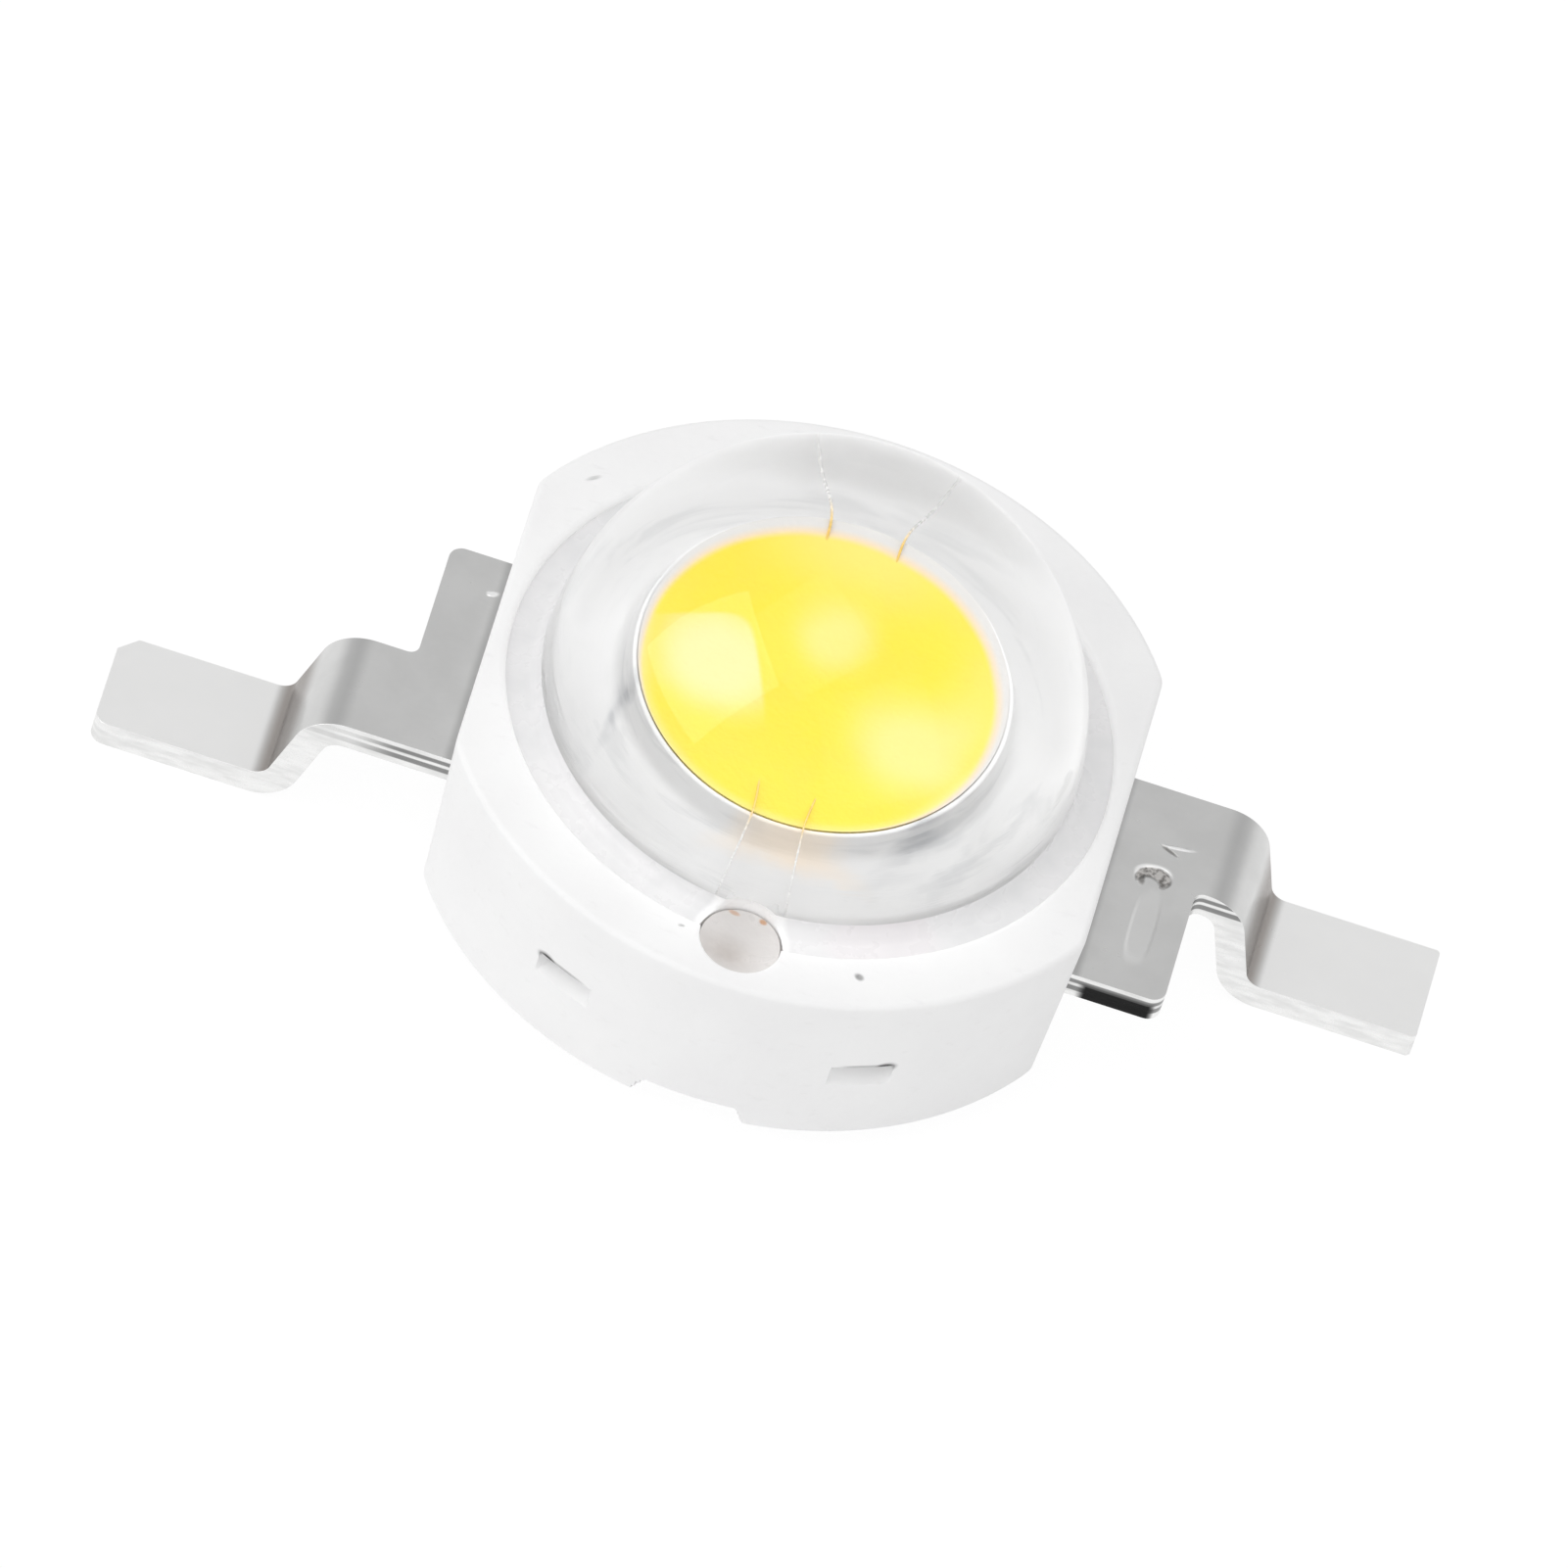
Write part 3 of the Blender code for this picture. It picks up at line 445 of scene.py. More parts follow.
def spot_at(tree, place, x, y, half_x, half_y, turn=0.0, square=2.0, edge=0.5, share=1.0, z=0.0, half_z=1000.0):
    """A soft spot on an upper surface, with its place and size in millimetres and its turn in degrees."""
    made = use(tree, spot, Place=place, Centre=(x * mm, y * mm, z * mm),
               Reach=(half_x * mm, half_y * mm, half_z * mm),
               Turn=math.radians(-turn), Square=square, Edge=edge)["Spot"]
    return scaled(tree, made, share)


def spots(tree, place, *rows):
    """The sum of several soft spots, each given by spot_at's values."""
    return sum_of(tree, *(spot_at(tree, place, *row) for row in rows))


def cloudy(tree, place, size, detail=4.0):
    """Clouds of a size in millimetres."""
    return use(tree, clouds, Place=place, Size=size * mm, Detail=detail)["Cloud"]


def stretched(tree, place, scale, turn=0.0):
    """Coordinates turned about Z and scaled, so that a pattern is drawn out where the scale is small."""
    return add_node(tree, "Mapping", {"Vector": place, "Rotation": (0, 0, turn), "Scale": scale}).outputs[0]


def loosened(tree, place, size, reach):
    """Coordinates that waver with noise of a size, by up to half the reach to each side, both in millimetres."""
    noise = add_node(tree, "TexNoise", {"Vector": place, "Scale": 1 / (size * mm), "Detail": 2.0})
    drift = vector_of(tree, "SUBTRACT", noise.outputs["Color"], (0.5, 0.5, 0.5))
    return vector_of(tree, "ADD", place, vector_of(tree, "MULTIPLY", drift, (reach * mm,) * 3))


def between(tree, socket, start, full, wane, end):
    """1 from full to wane, falling smoothly to 0 at start and at end, all in millimetres."""
    return scaled(tree, shaped(tree, socket, start * mm, full * mm), shaped(tree, socket, end * mm, wane * mm))


# Painted shade: the slug is darker towards the front, and all of it but the cone's foot at the back, which gets
# less light through the lens than the rest, is toned down.
silver, tree, shader, place = finish("turned_silver_plate", (0.93, 0.93, 0.925), 0.42, 0.25)
back = add_node(tree, "SeparateXYZ", {0: place}).outputs["Y"]
loose = loosened(tree, place, 0.25, 0.12)
cloud = cloudy(tree, place, 0.6)
ring = use(tree, turning, Place=place, Pitch=0.03 * mm)["Ring"]
wave = use(tree, waves, Place=place, Pitch=0.13 * mm)["Wave"]
near = math_of(tree, "MAXIMUM", spot_at(tree, place, 0, 0, 1.86, 1.86, 0, 2.0, 0.14),
               shaped(tree, back, 0.9 * mm, 0.3 * mm))
# Painted reflections: dark streaks on the silver cone, broken into arcs.
arcs = shaped(tree, use(tree, waves, Place=place, Pitch=0.10 * mm)["Wave"], 0.38, 0.62, 0.45, 1.0)
painted_dark_reflections = spots(tree, loose, (-1.36, -0.38, 0.08, 0.40, -16, 2.0, 0.95, 0.8),
                (1.10, -0.86, 0.52, 0.09, 53, 2.0, 0.95, 0.8), (1.42, -0.78, 0.55, 0.09, 60, 2.0, 0.95, 0.35),
                (0.98, -1.18, 0.45, 0.07, 41, 2.0, 0.95, 0.18))
coated(tree, shader, layered(
    tree, blended(tree, shaped(tree, cloud, 0.35, 0.7), 0.99, 0.96),
    (shaped(tree, wave, 0.50, 0.68, 0.0, 0.38), (0.70, 0.71, 0.72)),
    (shaped(tree, back, 0.5 * mm, -0.4 * mm, 0.0, 0.13), 0.0),
    (scaled(tree, near, 0.165), 0.0),
    # Painted reflection: a brownish gold smudge under the front rim, where the gold wires show in the lens.
    (spot_at(tree, loose, 0.16, -1.37, 0.85, 0.15, 4, 2.0, 0.9, 0.70), (0.82, 0.69, 0.54)),
    (scaled(tree, arcs, painted_dark_reflections), (0.36, 0.37, 0.39)),
), shaped(tree, sum_of(tree, cloud, ring), 0.6, 1.4, 0.36, 0.52))
bumped(tree, shader, ring, 0.001 * mm)
slug.data.materials.append(silver)
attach(slug, "root")
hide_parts("heat_slug")

# Leads. Two strips punched from one sheet of copper alloy, silver plated, bent to a gull wing and cut free after the
# body was moulded round them. Each ends inside in a curved finger for the bond wires.

LEAD_THICKNESS = 0.33 * mm
LEAD_NEAR = 0.08 * mm
LEAD_FAR = 1.35 * mm
TAB_FRONT = -1.54 * mm
BEND_START = 4.62 * mm
BEND_INNER = 0.20 * mm
BEND_ANGLE = math.radians(75)
BEND_STEPS = 20
FINGER_INNER = 2.298 * mm
FINGER_OUTER = 2.848 * mm
FINGER_END = math.radians(108)
ROOT_HALF = 1.10 * mm
SHANK_START = 3.048 * mm
LEAD_EDGE = 0.035 * mm
TAB_CORNER = 0.16 * mm
TAB_FILLET = 0.11 * mm
CORNER_POINTS = 9


def curve_round(centre, radius, start, end, steps):
    """Points (x, y) along an arc, both ends included: centre + radius (cos a, sin a)."""
    angle = np.linspace(start, end, steps + 1)
    return np.stack([centre[0] + radius * np.cos(angle), centre[1] + radius * np.sin(angle)], axis=1)


def plate_outline(setback):
    """The flat part of a lead, anticlockwise from the front of its shank, out to the first bend."""
    edge = BEND_START - setback - TAB_FILLET
    pieces = [
        [(SHANK_START, -ROOT_HALF), (SHANK_START, TAB_FRONT)],
        curve_round((edge - TAB_CORNER, TAB_FRONT + TAB_CORNER), TAB_CORNER, -math.pi / 2, 0, CORNER_POINTS - 1),
        curve_round((edge + TAB_FILLET, LEAD_NEAR - TAB_FILLET), TAB_FILLET, math.pi, math.pi / 2, CORNER_POINTS - 1),
        [(BEND_START, LEAD_NEAR), (BEND_START, LEAD_FAR), (SHANK_START, LEAD_FAR), (SHANK_START, ROOT_HALF)],
        curve_round((0, 0), FINGER_OUTER, math.asin(ROOT_HALF / FINGER_OUTER), FINGER_END, 40),
        curve_round((0, 0), FINGER_INNER, FINGER_END, -math.asin(ROOT_HALF / FINGER_INNER), 56),
    ]
    return np.concatenate([np.asarray(piece, float) for piece in pieces])


def strip_stations(tip, chamfer, rounding):
    """Top surface of the strip from the first bend to the tip, as rows of (x, z, near edge, far edge).

    Each bend is an arc of the top surface: the first about a centre below it, with the inner radius plus the
    thickness, and the second about a centre above it, with the inner radius. The foot's corners narrow it.
    """
    outer = BEND_INNER + LEAD_THICKNESS
    slope = np.linspace(0, BEND_ANGLE, BEND_STEPS + 1)[1:]
    first = np.stack([BEND_START + outer * np.sin(slope), PLATE_TOP - outer * (1 - np.cos(slope))], axis=1)
    slope = np.linspace(BEND_ANGLE, 0, BEND_STEPS + 1)
    low = LEAD_THICKNESS
    web_drop = first[-1, 1] - low - BEND_INNER * (1 - math.cos(BEND_ANGLE))
    web_run = web_drop / math.tan(BEND_ANGLE)
    foot_start = first[-1, 0] + web_run + BEND_INNER * math.sin(BEND_ANGLE)
    second = np.stack([foot_start - BEND_INNER * np.sin(slope), low + BEND_INNER * (1 - np.cos(slope))], axis=1)
    reach = max(chamfer, rounding)
    short = reach * (1 - np.sin(np.linspace(0, math.pi / 2, CORNER_POINTS)))
    foot = np.stack([tip - short, np.full(CORNER_POINTS, low)], axis=1)
    rows = np.concatenate([first, second, foot])
    near = np.full(len(rows), LEAD_NEAR)
    far = np.full(len(rows), LEAD_FAR)
    near[-CORNER_POINTS:] += np.maximum(0, chamfer - short)
    into = np.maximum(0, rounding - short)
    far[-CORNER_POINTS:] -= rounding - np.sqrt(rounding ** 2 - into ** 2)
    return rows, near, far


def make_lead(name, turn, tip, setback, chamfer, rounding, coats):
    """A lead's top surface, given its thickness and its worn edges; turn is 1 for the right one, -1 for the left."""
    outline = plate_outline(setback)
    flat = np.column_stack([outline, np.full(len(outline), PLATE_TOP)])
    rows, near, far = strip_stations(tip, chamfer, rounding)
    strip = np.stack([np.column_stack([rows[:, 0], near, rows[:, 1]]),
                      np.column_stack([rows[:, 0], far, rows[:, 1]])], axis=1).reshape(-1, 3)
    points = np.concatenate([flat, strip]) * np.array([turn, turn, 1])
    start = 2 + 2 * CORNER_POINTS
    number = len(flat) + 2 * np.arange(len(rows))
    lower = np.concatenate([[start], number[:-1]])
    upper = np.concatenate([[start + 1], number[:-1] + 1])
    quads = np.stack([lower, number, number + 1, upper], axis=1)
    mesh = bpy.data.meshes.new(name)
    mesh.from_pydata(points.tolist(), [], [list(range(len(flat)))] + quads.tolist())
    for coat in coats:
        mesh.materials.append(coat)
    mesh.shade_smooth()
    piece = put_in_scene(name, mesh)
    wall = piece.modifiers.new("thickness", "SOLIDIFY")
    wall.thickness = LEAD_THICKNESS
    wall.offset = -1
    wall.use_even_offset = True
    wall.material_offset_rim = 1
    edges = piece.modifiers.new("worn_edges", "BEVEL")
    edges.width = LEAD_EDGE
    edges.segments = 3
    edges.limit_method = "ANGLE"
    edges.angle_limit = math.radians(40)
    edges.harden_normals = True
    edges.material = 2
    return piece


lead_silver, tree, shader, place = finish("lead_silver_plate", (0.66, 0.66, 0.65), 0.32, 1.0)
outward = math_of(tree, "ABSOLUTE", add_node(tree, "SeparateXYZ", {0: place}).outputs["X"])
cloud = cloudy(tree, place, 0.7)
grain = cloudy(tree, stretched(tree, place, (0.2, 1.0, 1.0)), 0.04)
ragged = shaped(tree, cloudy(tree, place, 0.10), 0.42, 0.58)
groove = spot_at(tree, place, 4.06, -0.60, 0.16, 0.60, 0, 3.0, 0.35)
torn = left_of(tree, spot_at(tree, place, 4.02, 0.09, 0.22, 0.17, 10, 2.2, 0.25),
               spot_at(tree, place, 3.99, -0.06, 0.16, 0.17, 10, 2.0, 0.30))
lifted = left_of(tree, spot_at(tree, place, 4.01, 0.14, 0.23, 0.15, 10, 2.2, 0.20), torn,
                 spot_at(tree, place, 4.02, 0.05, 0.22, 0.16, 10, 2.2, 0.25))
nick = spots(tree, place, (4.19, 0.59, 0.24, 0.030, 8, 2.0, 0.7), (-3.60, 1.05, 0.09, 0.05, 20, 2.0, 0.6))
dent = spots(tree, place, (4.10, 0.52, 0.16, 0.028, -24, 2.0, 0.7), (3.90, 0.02, 0.05, 0.10, 10, 2.0, 0.7))
coated(tree, shader, layered(
    tree, blended(tree, shaped(tree, cloud, 0.3, 0.7), (0.69, 0.69, 0.685), (0.635, 0.635, 0.63)),
    # Painted light: the feet are lighter than the plates.
    (shaped(tree, outward, 5.34 * mm, 5.52 * mm), (0.97, 0.97, 0.965)),
    # Painted shade: darker where the lead goes into the body.
    (shaped(tree, outward, 3.60 * mm, 3.50 * mm, 0.0, 0.5), 0.30),
    # Painted light: the fingers under the lens are lighter, to lift the shade there.
    (shaped(tree, outward, 3.05 * mm, 2.95 * mm), (0.99, 0.99, 0.985)),
    # Painted shade in the bends: a dark band from the web round the lower bend, and a fainter one at the upper bend.
    (scaled(tree, between(tree, outward, 5.10, 5.24, 5.34, 5.50), 0.92), (0.27, 0.245, 0.23)),
    (scaled(tree, between(tree, outward, 4.60, 4.78, 4.84, 5.00), 0.50), 0.36),
    (scaled(tree, groove, 0.35), (0.80, 0.80, 0.795)),
    (scaled(tree, torn, 0.9), blended(tree, ragged, (0.16, 0.15, 0.14), (0.62, 0.60, 0.58))),
    (lifted, (0.98, 0.98, 0.975)),
    (scaled(tree, dent, 0.8), (0.22, 0.21, 0.20)),
    (nick, 0.98),
), shaped(tree, sum_of(tree, cloud, grain), 0.6, 1.4, 0.27, 0.38))
bumped(tree, shader, sum_of(tree, scaled(tree, grain, 0.03), scaled(tree, groove, -0.7), scaled(tree, torn, -1.0),
                            scaled(tree, nick, 0.4), scaled(tree, dent, -0.5)), 0.03 * mm)

# The sheared sides are bright with two darker torn bands, and the lower part of the right tab's front end face
# is nearly black.
sheared, tree, shader, place = finish("sheared_lead_side", (0.90, 0.90, 0.89), 0.30, 1.0)
where = add_node(tree, "SeparateXYZ", {0: place}).outputs
cloud = cloudy(tree, stretched(tree, place, (0.3, 0.3, 1.2)), 0.12)
bands = sum_of(tree, *(between(tree, where["Z"], *edges) for edges in ((1.37, 1.39, 1.43, 1.45),
                                                                     (1.25, 1.27, 1.325, 1.345))))
bands = scaled(tree, bands, shaped(tree, where["X"], -4.0 * mm, -4.6 * mm, 1.0, 0.25))
end_face = scaled(tree, shaped(tree, where["Y"], -1.50 * mm, -1.525 * mm),
                  shaped(tree, where["Z"], 1.435 * mm, 1.36 * mm))
nearly_black_end = scaled(tree, end_face, spot_at(tree, place, 4.02, -1.54, 0.46, 3.0, 0, 2.0, 0.25))
coated(tree, shader, layered(
    tree, blended(tree, shaped(tree, cloud, 0.3, 0.7), (0.88, 0.88, 0.875), (0.76, 0.76, 0.755)),
    (scaled(tree, bands, 0.85), 0.16),
    (nearly_black_end, 0.015),
), shaped(tree, cloud, 0.3, 0.7, 0.22, 0.42))
bumped(tree, shader, cloud, 0.006 * mm)

# The edges were rubbed bright when the strip was cut and bent.
rubbed, tree, shader, place = finish("rubbed_lead_edge", (0.97, 0.97, 0.965), 0.22, 1.0)
cloud = cloudy(tree, place, 0.15)
coated(tree, shader, blended(tree, shaped(tree, cloud, 0.35, 0.65), (0.98, 0.98, 0.975), (0.86, 0.86, 0.855)),
       shaped(tree, cloud, 0.3, 0.7, 0.16, 0.34))
lead_finishes = (lead_silver, sheared, rubbed)

anode = make_lead("plated_anode_lead", 1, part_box("anode_lead")[1].x, 0.01 * mm, 0.04 * mm, 0.05 * mm, lead_finishes)
cathode = make_lead("plated_cathode_lead", -1, -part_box("cathode_lead")[0].x, 0.34 * mm, 0.20 * mm, 0.16 * mm,
                    lead_finishes)
for lead, node in ((anode, "anode_lead"), (cathode, "cathode_lead")):
    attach(lead, "root")
    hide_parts(node)

# Moulded body. White heat-resistant plastic, injected round the slug and both leads in one shot. The pins that held
# the lead frame left the four pockets in its wall, and the notches in its lower edge are for handling.

body_low, body_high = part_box("housing")
BODY_RADIUS = body_high.y
HALF_FLATS = body_high.x
BODY_TOP = body_high.z
BODY_BASE = body_low.z
BODY_DRAFT = 0.10 * mm
BODY_CORNER = 0.10 * mm
TOP_ROUND = 0.07 * mm
BASE_CHAMFER = 0.05 * mm
RECESS_RADIUS = 3.30 * mm
RECESS_FLOOR = 2.07 * mm
RECESS_LIP = 0.08 * mm
CAVITY_TOP = 2.748 * mm
CAVITY_LOW = 2.648 * mm
LEDGE = PLATE_TOP - 0.02 * mm
HOLE_RADIUS = 0.44 * mm
HOLE_FLOOR = 1.84 * mm
CHANNEL_HALF = 0.25 * mm
WINDOW_MIDDLE = 1.65 * mm
WINDOW_HALF = 0.32 * mm
WINDOW_BOTTOM = 1.10 * mm
WINDOW_TOP = 1.42 * mm
WINDOW_DEPTH = 0.38 * mm
NOTCH_TOP = 0.48 * mm
NOTCH_HALF_TOP = 0.50 * mm
NOTCH_HALF_BASE = 0.63 * mm
NOTCH_PLANE = 3.56 * mm
SLOT_DEPTH = 0.35 * mm
EDGE = 0.03 * mm
BODY_COLUMNS = 540
FACING = 0.6
RECESS_STEP = 0.02 * mm
HOLE_SOFTNESS = 0.1 * mm


def ease(value):
    """The smooth step 3 v^2 - 2 v^3 of a value held between 0 and 1."""
    value = np.clip(value, 0, 1)
    return value * value * (3 - 2 * value)


def inside(value, low, high):
    """1 between two limits and 0 outside them, with a soft step EDGE wide just inside each limit."""
    return ease((value - low) / EDGE) * ease((high - value) / EDGE)


def spaced(values, gap, digits):
    """Values in rising order, without those that lie closer than the gap to the next one."""
    values = np.unique(np.round(values, digits))
    return values[np.concatenate([np.diff(values) > gap, [True]])]


def around():
    """Angles of the body's columns: even steps, with close ones at the corners and at each pocket's sides."""
    even = np.linspace(-np.pi, np.pi, BODY_COLUMNS, endpoint=False)
    flat_corner = math.acos(HALF_FLATS / BODY_RADIUS)
    close = []
    wall = BODY_RADIUS - BODY_DRAFT / 2
    for across_x in (WINDOW_MIDDLE - WINDOW_HALF, WINDOW_MIDDLE + WINDOW_HALF):
        close += [math.acos((across_x + shift) / wall) for shift in np.linspace(-1.2, 1.2, 5) * EDGE]
    close += [math.acos((NOTCH_HALF_TOP + shift) / wall) for shift in np.linspace(-1, 5, 9) * EDGE]
    quarter = np.concatenate([close, np.linspace(-0.02, 0.02, 9) + flat_corner])
    both = np.concatenate([quarter, math.pi - quarter])
    slot_sides = [math.atan2(y + shift, HALF_FLATS) for y in (TAB_FRONT, LEAD_FAR)
                  for shift in np.linspace(-1.2, 1.2, 5) * EDGE]
    hole = np.arctan2(-RECESS_RADIUS + HOLE_RADIUS * np.sin(np.linspace(0, np.pi, 25)),
                      HOLE_RADIUS * np.cos(np.linspace(0, np.pi, 25)))
    angles = np.concatenate([even, both, -both, hole, hole + math.pi, slot_sides,
                             np.array(slot_sides) + math.pi])
    return spaced((angles + math.pi) % (2 * math.pi), 0.0012, 5) - math.pi


def outline_radius(angle, inset):
    """Distance from the axis to the round wall or to a flat, whichever is nearer, soft where they meet.

    The soft minimum of a and b is (a + b - sqrt((a - b)^2 + s^2)) / 2.
    """
    round_wall = BODY_RADIUS - inset
    flat_wall = (HALF_FLATS - inset) / np.maximum(np.abs(np.cos(angle)), 0.2)
    softness = 0.25 * BODY_CORNER
    return (round_wall + flat_wall - np.sqrt((round_wall - flat_wall) ** 2 + softness ** 2)) / 2


def hole_sides(angle):
    """How far out and how far in a filler hole reaches at each angle, or the recess edge where there is none.

    A hole of radius h about a point at distance R lies between R cos d - w and R cos d + w, with
    w = sqrt(h^2 - (R sin d)^2) and d the angle from the hole's middle.
    """
    off = np.abs(np.abs(angle) - np.pi / 2)
    width = HOLE_RADIUS ** 2 - (RECESS_RADIUS * np.sin(off)) ** 2
    reach = np.sqrt(np.maximum(width, 0))
    middle = RECESS_RADIUS * np.cos(off)
    outer = np.where(width > 0, np.maximum(middle + reach, RECESS_RADIUS), RECESS_RADIUS)
    foot = RECESS_RADIUS - RECESS_STEP
    inner = np.where(width > 0, np.minimum(middle - reach, foot), foot)
    return outer, inner, ease(width / HOLE_SOFTNESS ** 2)


def body_points(angle):
    """The whole moulded surface as one closed ring of rows, from the bore up round the outside and down inside."""
    rows = []

    def add(radius, height):
        rows.append(ring_row(radius, height, angle))

    x_share = np.abs(np.cos(angle))
    y_share = np.abs(np.sin(angle))
    height_span = BODY_TOP - BODY_BASE

    def wall(height, inset):
        """The drafted wall with its pockets, notch and lead slots pressed into it."""
        radius = outline_radius(angle, inset + BODY_DRAFT * (BODY_TOP - height) / height_span)
        x = radius * np.cos(angle)
        y = radius * np.sin(angle)
        window = inside(np.abs(x), WINDOW_MIDDLE - WINDOW_HALF, WINDOW_MIDDLE + WINDOW_HALF)
        window = window * ease((WINDOW_TOP - height) / EDGE) * (y_share > FACING)
        radius = radius - WINDOW_DEPTH * window * np.clip((height - WINDOW_BOTTOM) / (WINDOW_TOP - WINDOW_BOTTOM), 0, 1)
        half = NOTCH_HALF_BASE + (NOTCH_HALF_TOP - NOTCH_HALF_BASE) * (height - BODY_BASE) / (NOTCH_TOP - BODY_BASE)
        notch = ease((half - np.abs(x)) / EDGE) * ease((NOTCH_TOP - height) / EDGE) * (y_share > FACING)
        radius = radius + (NOTCH_PLANE / np.maximum(y_share, 0.3) - radius) * notch
        along = y * np.sign(np.cos(angle))
        slot = inside(along, TAB_FRONT, LEAD_FAR) * inside(height, PLATE_TOP - LEAD_THICKNESS, PLATE_TOP)
        return radius - SLOT_DEPTH * slot * (x_share > FACING)

    bore = SLUG_RADIUS + FIT
    add(bore, BODY_BASE)
    for share in (0.4, 0.8, 1.0):
        reach = wall(BODY_BASE, BASE_CHAMFER)
        add(bore + (reach - bore) * share, BODY_BASE)
    levels = [BODY_BASE + BASE_CHAMFER]
    levels += list(np.linspace(BODY_BASE + 2 * BASE_CHAMFER, BODY_TOP - TOP_ROUND, 26))
    for edge in (NOTCH_TOP, WINDOW_BOTTOM, WINDOW_TOP, PLATE_TOP, PLATE_TOP - LEAD_THICKNESS):
        levels += list(edge + np.linspace(-1.2, 1.2, 7) * EDGE)
    for level_z in spaced(levels, 0.004 * mm, 7):
        add(wall(level_z, 0.0), level_z)
    for turn in np.linspace(0, math.pi / 2, 9)[1:]:
        add(wall(BODY_TOP - TOP_ROUND * (1 - math.sin(turn)), TOP_ROUND * (1 - math.cos(turn))),
            BODY_TOP - TOP_ROUND * (1 - math.sin(turn)))
    outer, inner, in_hole = hole_sides(angle)
    rim_end = rows[-1][:, 0]
    lip = outer + RECESS_LIP
    for share in (0.33, 0.66):
        add(rim_end + (lip - rim_end) * share, BODY_TOP)
    for turn in np.linspace(0, math.pi / 2, 6):
        add(outer + RECESS_LIP * (1 - math.sin(turn)), BODY_TOP - RECESS_LIP * (1 - math.cos(turn)))
    deep = RECESS_FLOOR + (HOLE_FLOOR - RECESS_FLOOR) * in_hole
    for share in (0.25, 0.5, 0.75, 1.0):
        add(outer, BODY_TOP - RECESS_LIP + (deep - BODY_TOP + RECESS_LIP) * share)
    add((outer + inner) / 2, deep)
    add(inner + 0.005 * mm, deep)
    x = inner * np.cos(angle)
    channel = ease((CHANNEL_HALF - np.abs(x)) / EDGE) * (y_share > FACING)
    shelf = RECESS_FLOOR + (HOLE_FLOOR - RECESS_FLOOR) * channel
    add(inner, shelf)
    cavity_top = np.minimum(CAVITY_TOP, inner - 0.05 * mm)
    add((inner + cavity_top) / 2, shelf)
    add(cavity_top + RECESS_LIP / 2, shelf)
    add(cavity_top, shelf - RECESS_LIP / 2)
    add(np.full_like(angle, CAVITY_LOW + 0.02 * mm), PLATE_TOP + 0.05 * mm)
    add(np.full_like(angle, CAVITY_LOW - 0.03 * mm), LEDGE)
    for radius, height in ((DRUM_RADIUS + FIT, LEDGE), (DRUM_RADIUS + FIT, COLLAR_TOP + FIT),
                           (COLLAR_RADIUS + FIT, COLLAR_TOP + FIT), (COLLAR_RADIUS + FIT, GROOVE_TOP - FIT),
                           (GROOVE_RADIUS + FIT, GROOVE_TOP - FIT), (GROOVE_RADIUS + FIT, BASE_TOP + FIT),
                           (bore, BASE_TOP + FIT)):
        add(radius, height)
    return wrapped(rows, angle)


grid = body_points(around())
body = put_in_scene("moulded_body", surface_mesh("moulded_body", grid, ring_faces(*grid.shape[:2], True), 40))
plastic, tree, shader, place = finish("white_moulded_plastic", (0.93, 0.93, 0.93), 0.42)
shader.inputs["Specular IOR Level"].default_value = 0.35
orange_peel = cloudy(tree, place, 0.12)
scuff = shaped(tree, cloudy(tree, stretched(tree, place, (0.35, 1.0, 1.0), 0.4), 0.10), 0.60, 0.74)
pits = spots(tree, place, (1.314, -3.33, 0.070, 0.055, -20, 2.0, 0.8, 0.85, 2.5, 0.2),
             (-2.95, 2.18, 0.13, 0.035, 40, 2.0, 0.9, 0.40, 2.5, 0.2),
             (-0.64, -3.40, 0.05, 0.022, 10, 2.0, 0.9, 0.45, 2.5, 0.2))
# Painted shade: nearly black along the top edge of each of the four pockets, darkest at its outer end.
gap = spots(tree, vector_of(tree, "ABSOLUTE", place), (1.88, 3.42, 0.14, 0.30, 0, 2.0, 0.8, 0.95, 1.40, 0.11),
            (1.66, 3.50, 0.36, 0.30, 0, 3.0, 0.5, 0.45, 1.41, 0.06))
coated(tree, shader, layered(
    tree, blended(tree, shaped(tree, cloudy(tree, place, 1.2), 0.3, 0.7), 0.965, (0.935, 0.932, 0.935)),
    (scaled(tree, scuff, 0.35), (0.88, 0.875, 0.88)),
    # Painted light: inside the cavity the plastic is whiter, to lift the shade under the lens.
    (spot_at(tree, place, 0, 0, 2.86, 2.86, 0, 2.0, 0.02), 0.99),
    (pits, 0.30),
    (gap, 0.05),
), shaped(tree, orange_peel, 0.3, 0.7, 0.50, 0.62))
bumped(tree, shader, sum_of(tree, scaled(tree, orange_peel, 0.3), scaled(tree, scuff, -0.12),
                            scaled(tree, pits, -1.5)), 0.02 * mm)
body.data.materials.append(plastic)
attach(body, "root")
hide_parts("housing")

# Chip and its bond. A square crystal with bright edges, stuck to the cup's floor with a thin bed of silver epoxy.
# Both are buried in the phosphor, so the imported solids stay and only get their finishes.

